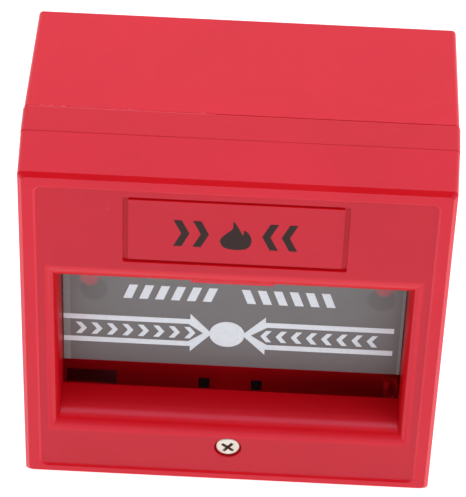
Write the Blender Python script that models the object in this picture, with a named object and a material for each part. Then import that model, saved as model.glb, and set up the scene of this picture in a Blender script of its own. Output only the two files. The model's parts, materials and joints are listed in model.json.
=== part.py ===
"""Manual call point for a fire alarm: a surface-mounted square box with a pane that is pressed in.

Frame: metres, +Z up. The origin is the centre of the back face, which stands against the wall.
The front faces -Y, and +X is to the right of someone who faces it.

The shape functions take millimetres. Their "depth" is measured back from the front plane, so the
wall face is at depth DEPTH.
"""

import math

import bmesh
import bpy
from mathutils import Matrix, Vector

MM = 0.001
GAP = 0.3  # between pieces that touch

# Casing
DEPTH = 50.0
SHELL_HALF = 42.45  # half the width and height at the front plane
COVER_REAR_HALF = 42.85
RIM_HALF = 43.0
BOX_HALF = 42.85
BOX_BACK_HALF = 42.5
CORNER = 1.0
CHAMFER = 0.85
WALL = 2.0
COVER_REAR = 12.2
RIM_FRONT = COVER_REAR + GAP
RIM_REAR = 19.4
BOX_FRONT = RIM_REAR + GAP
BACK_WALL = 2.5
COVER_INNER_HALF = SHELL_HALF - WALL
RIM_INNER_HALF = RIM_HALF - 1.9
BOX_INNER_HALF = BOX_BACK_HALF - WALL
BOX_INNER_BACK = DEPTH - BACK_WALL

# Front panel, label frame and window
PANEL = 0.4  # depth of the sunk panel
PANEL_SLOPE = 0.6
PANEL_SIDE = 39.5
PANEL_TOP = 39.4
PANEL_BOTTOM = -40.1
PANEL_CORNER = 1.8
FRAME_SIDE = 22.1
FRAME_TOP = 37.3
FRAME_BOTTOM = 20.0
GROOVE = 1.1
GROOVE_DEPTH = 0.6
WINDOW_SIDE = 35.1
WINDOW_TOP = 12.2
WINDOW_BOTTOM = -25.0
SIDE_FILLET = 2.4
HEADER_FILLET = 6.3
SILL_FILLET = 4.4
TUNNEL_REAR = 10.0
TUNNEL_WALL = 1.8
TONGUE_LOW = 7.2  # lower edge of the tongue in front of the pane
TONGUE_X = (-8.8, 8.0)

# Chassis
PLATE_FRONT = 15.8
PLATE_REAR = 17.8
LIP_HALF = BOX_INNER_HALF - GAP
LIP_REAR = 21.8
FIXING_SPACING = 60.3
FIXING_X = FIXING_SPACING / 2
LIP_THICK = 1.2
OVERLAP = 0.3  # how far a joined shape reaches into the plate
WELL_TOP = 14.8
WELL_FLOOR = 16.4
WELL_OUTER = 4.7
WELL_BORE = 3.8
FIXING_BORE = 2.1
POST_X = (32.1, 35.0)
POST_Z = (-29.2, -23.6)
POST_FRONT = 12.9
POST_SLOT_X = (33.1, 34.5)
POST_SLOT_Z = (-28.4, -22.6)
CORNER_WINDOW_X = (-35.0, -24.3)
CORNER_WINDOW_Z = (-32.6, -26.8)
LUG_HOLES = (-5.8, 5.3)
LUG_HOLE_Z = -29.5
LUG_HOLE_WIDE = 2.3
LUG_HOLE_TALL = 3.4

# Pane, with the printed film on its front, and the two hooks that it hangs and tilts on
FILM_SIDE = 34.9
FILM_TOP = 20.1
FILM_BOTTOM = -18.9
FILM_FRONT = 11.0
FILM_THICK = 0.2
PANE_SIDE = 36.6
PANE_TOP = 22.1
PANE_BOTTOM = -19.2
PANE_FRONT = FILM_FRONT + FILM_THICK + 0.15
PANE_REAR = PANE_FRONT + 1.2
PANE_AXIS = (0.0, (PANE_FRONT + PANE_REAR) / 2, PANE_TOP)
HOOK_X = 25.0
HOOK_HALF = 3.0
HOOK_FRONT = PANE_FRONT - 1.6
HOOK_LIP_REAR = PANE_FRONT - 0.4
HOOK_LIP_LOW = PANE_TOP - 1.6
HOOK_TOP = PANE_TOP + 2.3

# Cover screw and the pillar that it enters
SCREW_Z = -32.5
SCREW_RADIUS = 1.4
SCREW_HEAD_RADIUS = 2.5
SCREW_TOP = PANEL + 0.2
SCREW_LENGTH = 10.4
BOSS_RADIUS = 3.7
PILLAR_FRONT = 6.7
PILLAR_BORE = 2.7
COVER_HOOK_X = 22.0
COVER_HOOK_TOP = RIM_INNER_HALF - 0.4
CATCH_DEPTH = (13.0, 15.6)
COVER_AXIS = (0.0, RIM_FRONT - GAP / 2, 42.9)

# Microswitch, lying across the casing behind the plate
SWITCH_Z = -9.0
ROLLER_X = -0.7
ROLLER_RADIUS = 2.4
ROLLER_DEPTH = PANE_REAR + GAP + ROLLER_RADIUS
PIVOT_X = -15.5
PIVOT_DEPTH = 20.6
PLUNGER_X = -10.0
SWITCH_LEFT = -17.5
SWITCH_RIGHT = 2.3
SWITCH_FRONT = 22.0
SWITCH_REAR = 32.0
SWITCH_LOW = -12.2
SWITCH_HIGH = -5.8
LID_THICK = 1.4
SWITCH_SCREWS_X = (-13.0, -3.5)
SWITCH_SCREW_DEPTH = 29.4
SHELF_X = (-19.0, 4.0)
SHELF_REAR = 33.0
SHELF_LOW = SWITCH_LOW - 2.8
LEVER_FRONT = 19.5
LEVER_REAR = 19.9
LEVER_HALF = 2.15
PIN_RADIUS = 0.5
TERMINALS_X = (-16.0, -7.6, 0.8)

# Return spring
SPRING_Z = 10.0
SPRING_RADIUS = 2.2
SPRING_WIRE = 0.45
SPRING_TURNS = 5
SPRING_REAR = 21.0
CUP_RADIUS = 4.0
CUP_BORE = 2.9

# Terminal block
POLES_X = (-6.2, 0.0, 6.2)
BLOCK_HALF = 9.6
BLOCK_FRONT = PLATE_REAR + GAP
BLOCK_REAR = 28.1
BLOCK_LOW = -33.8
BLOCK_HIGH = -24.4
CLAMP_Z = -29.0
CLAMP_SCREW_TOP = 27.8
LUG_FRONT = 16.0
WIRE_DEPTH = 22.7
LEAD_RADIUS = 0.6

# Cable entry
ENTRY_Z = 16.0
ENTRY_RADIUS = 6.0
SINK_RADIUS = 8.2
BOX_BOSS_RADIUS = 4.5
BOX_BOSS_BORE = 3.1
RIB_FRONT = 23.5
RIB_HALF = 0.8
KNOCKOUT_RADIUS = 10.0
KNOCKOUT_DEPTH = 35.0
SLOT_WIDE = 5.0
SLOT_LONG = 9.0
SLOT_CORNER = 1.5
SLOT_PLACES = ((-25.0, 25.0, True), (25.0, 25.0, False), (-25.0, -25.0, False), (25.0, -25.0, True))

COLOURS = {
    "red_plastic": ((0.72, 0.045, 0.065), 0.35, 0.0),
    "pane_plastic": ((0.62, 0.64, 0.64), 0.15, 0.0),
    "grey_film": ((0.19, 0.18, 0.18), 0.4, 0.0),
    "black_plastic": ((0.03, 0.03, 0.03), 0.45, 0.0),
    "white_plastic": ((0.75, 0.74, 0.70), 0.4, 0.0),
    "zinc_steel": ((0.80, 0.78, 0.72), 0.3, 1.0),
    "brass": ((0.72, 0.52, 0.22), 0.35, 1.0),
    "rubber": ((0.04, 0.04, 0.04), 0.7, 0.0),
    "red_wire": ((0.60, 0.03, 0.03), 0.45, 0.0),
    "black_wire": ((0.02, 0.02, 0.02), 0.45, 0.0),
    "blue_wire": ((0.04, 0.10, 0.45), 0.45, 0.0),
}


# ---------------------------------------------------------------- scene and materials


def clear_scene():
    for old in list(bpy.data.objects):
        bpy.data.objects.remove(old, do_unlink=True)


def material(key):
    found = bpy.data.materials.get(key)
    if found:
        return found
    colour, roughness, metallic = COLOURS[key]
    made = bpy.data.materials.new(key)
    made.use_nodes = True
    shader = made.node_tree.nodes["Principled BSDF"]
    shader.inputs["Base Color"].default_value = (*colour, 1.0)
    shader.inputs["Roughness"].default_value = roughness
    shader.inputs["Metallic"].default_value = metallic
    made.diffuse_color = (*colour, 1.0)
    return made


def point(x, depth, z):
    """A place in the frame, in metres, from millimetres and the depth behind the front plane."""
    return Vector((x * MM, (depth - DEPTH) * MM, z * MM))


def link(name, mesh, finish, place=(0.0, DEPTH, 0.0)):
    """Puts a mesh in the scene with its origin at the place. The mesh is already relative to it."""
    piece = bpy.data.objects.new(name, mesh)
    bpy.context.scene.collection.objects.link(piece)
    piece.location = point(*place)
    if finish:
        mesh.materials.append(material(finish))
    return piece


def finish_mesh(name, shape):
    bmesh.ops.remove_doubles(shape, verts=shape.verts, dist=1e-7)
    bmesh.ops.recalc_face_normals(shape, faces=shape.faces)
    mesh = bpy.data.meshes.new(name)
    shape.to_mesh(mesh)
    shape.free()
    return mesh


def smooth(piece, degrees=35.0):
    piece.data.shade_smooth()
    piece.data.set_sharp_from_angle(angle=math.radians(degrees))
    return piece


# ---------------------------------------------------------------- shapes


def block(name, x, depth, z, finish=None):
    """A cuboid from three (low, high) spans."""
    low = point(x[0], depth[0], z[0])
    high = point(x[1], depth[1], z[1])
    shape = bmesh.new()
    bmesh.ops.create_cube(shape, size=1.0, matrix=Matrix.Diagonal((*(high - low), 1.0)))
    centre = ((x[0] + x[1]) / 2, (depth[0] + depth[1]) / 2, (z[0] + z[1]) / 2)
    return link(name, finish_mesh(name, shape), finish, centre)


def loft(name, rings, finish=None):
    """A solid through rings of (x, depth, z) points, closed by its first and last ring."""
    shape = bmesh.new()
    rows = [[shape.verts.new(point(*corner) - point(0, DEPTH, 0)) for corner in ring] for ring in rings]
    for near, far in zip(rows, rows[1:]):
        for i in range(len(near)):
            j = (i + 1) % len(near)
            shape.faces.new((near[i], near[j], far[j], far[i]))
    shape.faces.new(rows[0])
    shape.faces.new(list(reversed(rows[-1])))
    return link(name, finish_mesh(name, shape), finish)


def rounded(x, z, radius, steps=3):
    """The (x, z) outline of a rectangle with round corners."""
    corners = ((x[1], z[1], 0), (x[0], z[1], 90), (x[0], z[0], 180), (x[1], z[0], 270))
    outline = []
    for corner_x, corner_z, start in corners:
        centre_x = corner_x - math.copysign(radius, corner_x - (x[0] + x[1]) / 2)
        centre_z = corner_z - math.copysign(radius, corner_z - (z[0] + z[1]) / 2)
        for step in range(steps + 1):
            angle = math.radians(start + 90 * step / steps)
            outline.append((centre_x + radius * math.cos(angle), centre_z + radius * math.sin(angle)))
    return outline


def square_ring(half, depth, radius=CORNER):
    return [(x, depth, z) for x, z in rounded((-half, half), (-half, half), radius)]


def prism(name, outline, span, along="depth", finish=None):
    """An outline pushed straight through a span. It is (x, z) along depth, (x, depth) along z, and
    (depth, z) along x."""
    place = {
        "depth": lambda a, b, c: (a, c, b),
        "z": lambda a, b, c: (a, b, c),
        "x": lambda a, b, c: (c, a, b),
    }[along]
    rings = [[place(a, b, c) for a, b in outline] for c in span]
    return loft(name, rings, finish)


def flatten_ends(shape):
    """Makes one face of each flat end that a spin has left as a fan of triangles."""
    bmesh.ops.remove_doubles(shape, verts=shape.verts, dist=1e-7)
    shape.normal_update()
    for vert in list(shape.verts):
        if vert.co.xy.length < 1e-7 and all(abs(face.normal.z) > 0.9999 for face in vert.link_faces):
            bmesh.ops.dissolve_verts(shape, verts=[vert])


def turned(name, profile, place, towards, finish=None, sides=24):
    """A profile of (radius, height) points spun round an axis. It starts at the place, and the axis
    points the way that towards says. The profile starts and ends on the axis, or is a closed ring."""
    shape = bmesh.new()
    ring = [shape.verts.new((radius * MM, 0.0, height * MM)) for radius, height in profile]
    edges = [shape.edges.new(pair) for pair in zip(ring, ring[1:])]
    if profile[0][0] > 0:
        edges.append(shape.edges.new((ring[-1], ring[0])))
    whole = {"angle": math.tau, "steps": sides, "use_merge": True}
    bmesh.ops.spin(shape, geom=ring + edges, cent=(0, 0, 0), axis=(0, 0, 1), **whole)
    flatten_ends(shape)
    piece = link(name, finish_mesh(name, shape), finish, place)
    piece.rotation_euler = Vector(towards).to_track_quat("Z", "Y").to_euler()
    return smooth(piece)


BACK = (0, 1, 0)
FRONT = (0, -1, 0)
UP = (0, 0, 1)
SIDES = ((-1, "left"), (1, "right"))


def rod(name, radius, place, towards, length, finish=None, sides=24):
    profile = [(0, 0), (radius, 0), (radius, length), (0, length)]
    return turned(name, profile, place, towards, finish, sides)


def tube(name, outer, inner, place, towards, length, finish=None, sides=24):
    profile = [(inner, 0), (outer, 0), (outer, length), (inner, length)]
    return turned(name, profile, place, towards, finish, sides)


def boolean(piece, operation, tools):
    for tool in tools:
        step = piece.modifiers.new(f"{operation.lower()}_{tool.name}", "BOOLEAN")
        step.operation = operation
        step.object = tool
        tool.hide_render = True
        tool.display_type = "WIRE"
    return piece


def cut(piece, *tools):
    return boolean(piece, "DIFFERENCE", tools)


def fuse(piece, *tools):
    return boolean(piece, "UNION", tools)


def axis_at(name, place):
    """An empty on a joint's axis, to carry the pieces that turn or slide on it."""
    empty = bpy.data.objects.new(name, None)
    empty.empty_display_size = 0.01
    bpy.context.scene.collection.objects.link(empty)
    empty.location = point(*place)
    return empty


def carry(axis, *pieces):
    for piece in pieces:
        piece.parent = axis
        piece.location = piece.location - axis.location


# ---------------------------------------------------------------- back box


def wall_slot(index, x, z, upright):
    """A fixing slot in the back wall, long enough to level the box on its screws."""
    wide, tall = (SLOT_WIDE / 2, SLOT_LONG / 2) if upright else (SLOT_LONG / 2, SLOT_WIDE / 2)
    outline = rounded((x - wide, x + wide), (z - tall, z + tall), SLOT_CORNER, steps=3)
    return prism(f"cut_wall_slot_{index}", outline, (BOX_INNER_BACK - 1, DEPTH + 1))


def make_back_box():
    rings = [
        square_ring(BOX_HALF, BOX_FRONT),
        square_ring(BOX_BACK_HALF, DEPTH - 0.9),
        square_ring(BOX_BACK_HALF - 0.3, DEPTH - 0.25),
        square_ring(BOX_BACK_HALF - 0.9, DEPTH),
    ]
    box = loft("back_box", rings, "red_plastic")
    hollow = [
        square_ring(BOX_HALF - WALL, BOX_FRONT - 1, 1.5),
        square_ring(BOX_INNER_HALF, BOX_INNER_BACK, 1.5),
    ]
    cut(box, loft("cut_box_hollow", hollow))
    for side, name in SIDES:
        box_boss(box, side, name)
    for index, place in enumerate(SLOT_PLACES):
        cut(box, wall_slot(index, *place))
    entry = rod("cut_cable_entry", ENTRY_RADIUS, (0, BOX_INNER_BACK - 1, ENTRY_Z), BACK, 5, sides=32)
    sink = rod("cut_entry_sink", SINK_RADIUS, (0, DEPTH - 1.3, ENTRY_Z), BACK, 3, sides=32)
    ring_place = (0, KNOCKOUT_DEPTH, -BOX_HALF - 1)
    knockout = tube("cut_knockout", KNOCKOUT_RADIUS, KNOCKOUT_RADIUS - 0.9, ring_place, UP, 2.3, sides=40)
    cut(box, entry, sink, knockout)


def box_boss(box, side, name):
    """A post for a chassis screw's insert, with a rib out to the side wall."""
    x = side * FIXING_X
    foot = BOX_INNER_BACK + 0.5
    boss = rod(f"boss_{name}", BOX_BOSS_RADIUS, (x, BLOCK_FRONT, 0), BACK, foot - BLOCK_FRONT)
    reach = sorted((side * (FIXING_X + 3), side * (BOX_INNER_HALF + 1)))
    rib = block(f"boss_rib_{name}", reach, (RIB_FRONT, foot), (-RIB_HALF, RIB_HALF))
    fuse(box, boss, rib)
    cut(box, rod(f"cut_boss_{name}", BOX_BOSS_BORE, (x, BLOCK_FRONT - 1, 0), BACK, 14))


def make_grommet():
    """A blind rubber grommet in the back wall's cable entry, with a skin that the cable pierces."""
    neck = ENTRY_RADIUS - GAP
    profile = [
        (0, 0),
        (7.6, 0),
        (7.6, 0.8),
        (neck, 0.8),
        (neck, 2.6),
        (7.4, 2.6),
        (7.0, 4.2),
        (4.4, 4.2),
        (4.4, 1.0),
        (0, 1.0),
    ]
    turned("cable_grommet", profile, (0, DEPTH - 0.2, ENTRY_Z), FRONT, "rubber", 32)


def make_box_inserts():
    for side, name in SIDES:
        place = (side * FIXING_X, BLOCK_FRONT + GAP, 0)
        tube(f"box_insert_{name}", 2.8, 2.05, place, BACK, 9, "brass")


# ---------------------------------------------------------------- chassis


def square_pipe(name, half, thick, span, finish=None):
    """A square frame: its outside, and the room inside it cut away."""
    low, high = span
    pipe = loft(name, [square_ring(half, low), square_ring(half, high)], finish)
    room = [square_ring(half - thick, low - 1), square_ring(half - thick, high + 1)]
    return cut(pipe, loft(f"cut_{name}", room))


def pane_hook(name, x):
    """A hook over the pane's top edge, on which the pane tilts."""
    wide = (x - HOOK_HALF, x + HOOK_HALF)
    post = block(f"{name}_post", wide, (HOOK_FRONT, PLATE_FRONT + OVERLAP), (PANE_TOP + GAP, HOOK_TOP))
    lip = block(f"{name}_lip", wide, (HOOK_FRONT, HOOK_LIP_REAR), (HOOK_LIP_LOW, PANE_TOP + 0.8))
    return post, lip


def screw_pillar():
    """The pillar for the cover screw's insert, with a sloped root that clears the window."""
    length = PLATE_FRONT + OVERLAP - PILLAR_FRONT
    pillar = rod("pillar", BOSS_RADIUS, (0, PILLAR_FRONT, SCREW_Z), BACK, length)
    slope = [(13.2, -28.5), (PLATE_FRONT, -31.2), (PLATE_FRONT, -28.5)]
    return cut(pillar, prism("cut_pillar_root", slope, (-4, 4), "x"))


def fixing_well(chassis, side, name):
    """A round well for a chassis screw, and the catch above it for a cover hook."""
    x = side * FIXING_X
    well_height = PLATE_FRONT + OVERLAP - WELL_TOP
    fuse(chassis, rod(f"well_{name}", WELL_OUTER, (x, WELL_TOP, 0), BACK, well_height))
    sink = rod(f"cut_well_{name}", WELL_BORE, (x, WELL_TOP - 1, 0), BACK, WELL_FLOOR + 1 - WELL_TOP)
    hole = rod(f"cut_fixing_{name}", FIXING_BORE, (x, WELL_TOP, 0), BACK, 5)
    wide = (side * COVER_HOOK_X - 4.5, side * COVER_HOOK_X + 4.5)
    tall = (RIM_INNER_HALF - 0.5, RIM_INNER_HALF + 0.8)
    cut(chassis, sink, hole, block(f"cut_catch_{name}", wide, CATCH_DEPTH, tall))


def make_chassis():
    """The middle frame: a rim that shows between the cover and the box, and a plate across it."""
    rim = [square_ring(RIM_HALF - 0.1, RIM_FRONT), square_ring(RIM_HALF, RIM_REAR)]
    chassis = loft("chassis", rim, "red_plastic")
    room = [square_ring(RIM_INNER_HALF, RIM_FRONT - 1), square_ring(RIM_INNER_HALF, RIM_REAR + 1)]
    cut(chassis, loft("cut_rim", room))
    plate_span = (-RIM_INNER_HALF - 0.2, RIM_INNER_HALF + 0.2)
    behind = PLATE_REAR - OVERLAP
    fuse(
        chassis,
        block("plate", plate_span, (PLATE_FRONT, PLATE_REAR), plate_span),
        square_pipe("lip", LIP_HALF, LIP_THICK, (PLATE_REAR - 0.2, LIP_REAR)),
        screw_pillar(),
        rod("spring_cup", CUP_RADIUS, (0, behind, SPRING_Z), BACK, 5),
        block("switch_shelf", SHELF_X, (behind, SHELF_REAR), (SHELF_LOW, SWITCH_LOW - GAP)),
        block("corner_post", POST_X, (POST_FRONT, PLATE_FRONT + OVERLAP), POST_Z),
    )
    for side, name in SIDES:
        fuse(chassis, *pane_hook(f"hook_{name}", side * HOOK_X))
        fixing_well(chassis, side, name)
    cut_plate_openings(chassis)


def lug_block(name, x, depth, clearance):
    """The square lug that holds the terminal block to the plate, or the hole for it."""
    wide = LUG_HOLE_WIDE / 2 - clearance
    tall = LUG_HOLE_TALL / 2 - clearance
    return block(name, (x - wide, x + wide), depth, (LUG_HOLE_Z - tall, LUG_HOLE_Z + tall))


def cut_plate_openings(chassis):
    through = (PLATE_FRONT - 1, PLATE_REAR + 1)
    roller_window = ((ROLLER_X - 4.9, ROLLER_X + 4.3), through, (SWITCH_Z - 3.2, SWITCH_Z + 3.2))
    cut(
        chassis,
        block("cut_roller_window", *roller_window),
        block("cut_corner_window", CORNER_WINDOW_X, through, CORNER_WINDOW_Z),
        block("cut_post_slot", POST_SLOT_X, (12, 14.2), POST_SLOT_Z),
        rod("cut_pillar", PILLAR_BORE, (0, PILLAR_FRONT - 1, SCREW_Z), BACK, 7.8),
        rod("cut_spring_cup", CUP_BORE, (0, PLATE_FRONT - 1, SPRING_Z), BACK, 6.7),
    )
    for index, x in enumerate(LUG_HOLES):
        cut(chassis, lug_block(f"cut_lug_{index}", x, through, 0.0))
    for index, x in enumerate(SWITCH_SCREWS_X):
        place = (x, SWITCH_SCREW_DEPTH, SWITCH_LOW - 4)
        cut(chassis, rod(f"cut_shelf_{index}", 1.2, place, UP, 5, sides=16))


def cross_recess(name, place, towards, reach, deep, wide):
    """Two tapered blades crossed, the recess of a cross-head screw."""
    blades = []
    for turn in (0, 1):
        shape = bmesh.new()
        rings = []
        for height, scale in ((-0.3, 1.1), (deep, 0.45)):
            long_side, short_side = reach * scale * MM, wide * 0.5 * MM
            rings.append([
                shape.verts.new((a * long_side, b * short_side, height * MM))
                for a, b in ((1, 1), (-1, 1), (-1, -1), (1, -1))
            ])
        for i in range(4):
            j = (i + 1) % 4
            shape.faces.new((rings[0][i], rings[0][j], rings[1][j], rings[1][i]))
        shape.faces.new(rings[0])
        shape.faces.new(list(reversed(rings[1])))
        blade = link(f"{name}_{turn}", finish_mesh(name, shape), None, place)
        spin = Matrix.Rotation(math.radians(45 + 90 * turn), 4, "Z")
        aim = Vector(towards).to_track_quat("Z", "Y").to_matrix().to_4x4()
        blade.rotation_euler = (aim @ spin).to_euler()
        blades.append(blade)
    return blades


def make_chassis_screws():
    """Pan-head screws through the chassis wells into the box inserts."""
    head = [(0, 0), (1.6, 0), (2.8, 0.35), (3.4, 0.9), (3.4, 1.4)]
    shank = [(1.75, 1.4), (1.75, 11.5), (1.2, 12.2), (0, 12.2)]
    for side, name in SIDES:
        place = (side * FIXING_X, WELL_FLOOR - GAP - 1.4, 0)
        screw = turned(f"chassis_screw_{name}", head + shank, place, BACK, "zinc_steel")
        cut(screw, *cross_recess(f"cut_recess_{name}", place, BACK, 1.7, 1.0, 0.7))


# ---------------------------------------------------------------- front cover


def fillet(depth, radius):
    """How far a convex round of this radius has drawn back from its wall, at a depth."""
    below = min(max(depth - PANEL, 0.0), radius)
    return radius - math.sqrt(radius**2 - (radius - below) ** 2)


def window_cutter():
    """The window's inside: its four walls flare out to the panel, each with its own round."""
    rounds = [HEADER_FILLET * (1 - math.cos(math.radians(a))) for a in range(0, 91, 10)]
    depths = sorted({round(PANEL + step, 3) for step in rounds} | {PANEL + 0.25, PANEL + 1.2})
    levels = [-1.0] + depths + [TUNNEL_REAR + 1]
    rings = []
    for level in levels:
        side = WINDOW_SIDE + fillet(level, SIDE_FILLET)
        top = WINDOW_TOP + fillet(level, HEADER_FILLET)
        bottom = WINDOW_BOTTOM - fillet(level, SILL_FILLET)
        corners = ((side, top), (-side, top), (-side, bottom), (side, bottom))
        rings.append([(x, level, z) for x, z in corners])
    return loft("cut_window", rings)


def panel_cutter():
    grown = PANEL_SLOPE / PANEL
    rings = []
    for level in (-0.4, PANEL):
        out = (PANEL - level) * grown - PANEL_SLOPE
        x = (-PANEL_SIDE - out, PANEL_SIDE + out)
        z = (PANEL_BOTTOM - out, PANEL_TOP + out)
        rings.append([(a, level, b) for a, b in rounded(x, z, PANEL_CORNER + out, steps=4)])
    return loft("cut_panel", rings)


def frame_cutter():
    """The square groove round the label field."""
    span = (PANEL - 1, PANEL + GROOVE_DEPTH)
    outer = rounded((-FRAME_SIDE, FRAME_SIDE), (FRAME_BOTTOM, FRAME_TOP), 0.4, steps=2)
    side, low, high = FRAME_SIDE - GROOVE, FRAME_BOTTOM + GROOVE * 0.8, FRAME_TOP - GROOVE * 0.6
    inner = rounded((-side, side), (low, high), 0.3, steps=2)
    ring = prism("cut_label_frame", outer, span)
    return cut(ring, prism("keep_label_field", inner, (span[0] - 1, span[1] + 1)))


def cover_shell():
    """The cover's box, open at the rear, with a chamfer round its front."""
    rings = [
        square_ring(SHELL_HALF - CHAMFER, 0.0),
        square_ring(SHELL_HALF, CHAMFER),
        square_ring(COVER_REAR_HALF, COVER_REAR),
    ]
    hollow = [
        square_ring(COVER_INNER_HALF, PANEL + WALL),
        square_ring(COVER_INNER_HALF + 0.3, COVER_REAR + 1),
    ]
    return cut(loft("front_cover", rings, "red_plastic"), loft("cut_cover_hollow", hollow))


def window_walls():
    """The tunnel round the window, and the thick corners behind its rounds."""
    side = WINDOW_SIDE + TUNNEL_WALL
    low = WINDOW_BOTTOM - TUNNEL_WALL
    high = WINDOW_TOP + TUNNEL_WALL
    front = PANEL + 1
    return (
        block("tunnel", (-side, side), (front, TUNNEL_REAR), (low, high)),
        block("header_back", (-side, side), (front, PANEL + HEADER_FILLET), (high - 1, high + 6)),
        block("sill_back", (-side - 0.8, side + 0.8), (front, PANEL + SILL_FILLET), (low - 4.2, low + 1)),
        block("jamb_backs", (-side - 1.8, side + 1.8), (front, PANEL + 3.4), (low - 1, high + 5)),
    )


def cover_hook(name, x):
    """An arm behind the cover's top edge, with a nose that sits in the chassis's catch."""
    wide = (x - 4, x + 4)
    arm = block(f"cover_hook_{name}", wide, (8.0, 15.1), (COVER_HOOK_TOP - 1.6, COVER_HOOK_TOP))
    nose = block(f"cover_nose_{name}", wide, (13.8, 15.1), (COVER_HOOK_TOP - 0.5, COVER_HOOK_TOP + 0.8))
    return arm, nose


def make_front_cover():
    cover = cover_shell()
    fuse(cover, *window_walls(), rod("screw_boss", BOSS_RADIUS, (0, PANEL + 1, SCREW_Z), BACK, 4.1))
    cut(cover, window_cutter(), panel_cutter(), frame_cutter())
    tongue_depth = (TUNNEL_REAR - 1.4, TUNNEL_REAR)
    fuse(cover, block("header_tongue", TONGUE_X, tongue_depth, (TONGUE_LOW, WINDOW_TOP + 1)))
    for side, name in SIDES:
        fuse(cover, *cover_hook(name, side * COVER_HOOK_X))
    mouth = SCREW_HEAD_RADIUS + 0.35
    seat = [(0, -0.5), (mouth, -0.5), (mouth, 0.35), (1.7, 1.75), (1.7, 6), (0, 6)]
    cut(cover, turned("cut_screw_seat", seat, (0, PANEL, SCREW_Z), BACK, sides=32))
    return cover


def make_cover_screw():
    """A countersunk cross-head screw, held in the cover by a washer behind it."""
    profile = [
        (0, 0.0),
        (1.6, 0.0),
        (SCREW_HEAD_RADIUS - 0.15, 0.12),
        (SCREW_HEAD_RADIUS, 0.3),
        (SCREW_RADIUS, 1.5),
        (SCREW_RADIUS, SCREW_LENGTH - 0.6),
        (SCREW_RADIUS - 0.5, SCREW_LENGTH),
        (0, SCREW_LENGTH),
    ]
    place = (0, SCREW_TOP, SCREW_Z)
    screw = turned("cover_screw", profile, place, BACK, "zinc_steel", 32)
    cut(screw, *cross_recess("cut_cover_recess", place, BACK, 1.35, 1.1, 0.6))
    washer_place = (0, 5.8, SCREW_Z)
    washer = tube("cover_screw_washer", 3.2, SCREW_RADIUS + GAP, washer_place, BACK, 0.6, "black_plastic")
    insert_place = (0, PILLAR_FRONT + GAP, SCREW_Z)
    tube("cover_insert", PILLAR_BORE - GAP, SCREW_RADIUS + 0.35, insert_place, BACK, 6, "brass")
    return screw, washer


# ---------------------------------------------------------------- pane and return spring


def make_pane():
    tall = (PANE_BOTTOM, PANE_TOP)
    pane = block("break_pane", (-PANE_SIDE, PANE_SIDE), (PANE_FRONT, PANE_REAR), tall, "pane_plastic")
    film_depth = (FILM_FRONT, FILM_FRONT + FILM_THICK)
    film = block("pane_film", (-FILM_SIDE, FILM_SIDE), film_depth, (FILM_BOTTOM, FILM_TOP), "grey_film")
    carry(axis_at("pane_axis", PANE_AXIS), pane, film)


def spline_curve(name, places, radius, finish, resolution=2):
    """A round wire through places given in (x, depth, z)."""
    data = bpy.data.curves.new(name, "CURVE")
    data.dimensions = "3D"
    data.bevel_depth = radius * MM
    data.bevel_resolution = resolution
    data.use_fill_caps = True
    line = data.splines.new("POLY")
    line.points.add(len(places) - 1)
    for knot, place in zip(line.points, places):
        knot.co = (*point(*place), 1.0)
    wire = bpy.data.objects.new(name, data)
    bpy.context.scene.collection.objects.link(wire)
    data.materials.append(material(finish))
    return wire


def make_return_spring():
    """A coil in the chassis cup that pushes the pane forward. Its end turns lie close together."""
    front = PANE_REAR + GAP + SPRING_WIRE / 2
    rear = SPRING_REAR
    places = []
    steps = 14 * SPRING_TURNS
    for step in range(steps + 1):
        share = step / steps
        angle = math.tau * SPRING_TURNS * share
        eased = share - 0.10 * math.sin(math.tau * share) / 1.3
        depth = rear + (front - rear) * eased
        places.append((SPRING_RADIUS * math.cos(angle), depth, SPRING_Z + SPRING_RADIUS * math.sin(angle)))
    spline_curve("pane_return_spring", places, SPRING_WIRE / 2, "zinc_steel", 1)


# ---------------------------------------------------------------- microswitch


def make_switch_case():
    """The switch's base, open at its top, and the lid that closes it."""
    across, along = (SWITCH_LEFT, SWITCH_RIGHT), (SWITCH_FRONT, SWITCH_REAR)
    split = SWITCH_HIGH - LID_THICK - GAP
    base = block("switch_base", across, along, (SWITCH_LOW, split), "black_plastic")
    lid = block("switch_lid", across, along, (split + GAP, SWITCH_HIGH), "black_plastic")
    lug_wide = (PIVOT_X - 1.2, PIVOT_X + 1.2)
    lug_tall = (SWITCH_Z - 1.4, SWITCH_Z + 1.4)
    fuse(base, block("switch_lug", lug_wide, (LEVER_FRONT, SWITCH_FRONT + 0.2), lug_tall))
    cut(
        base,
        block("cut_switch_hollow", (-16.0, 0.8), (23.4, 27.4), (SWITCH_LOW + 1.2, SWITCH_HIGH)),
        rod("cut_plunger_guide", 1.2, (PLUNGER_X, SWITCH_FRONT - 1, SWITCH_Z), BACK, 3, sides=16),
        rod("cut_lug_pin", 0.8, (PIVOT_X, PIVOT_DEPTH, SWITCH_Z - 3), UP, 6, sides=16),
    )
    for index, x in enumerate(SWITCH_SCREWS_X):
        place = (x, SWITCH_SCREW_DEPTH, SWITCH_LOW - 1)
        hole = rod(f"cut_switch_screw_{index}", 1.25, place, UP, 9, sides=16)
        cut(base, hole)
        cut(lid, hole)


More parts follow.
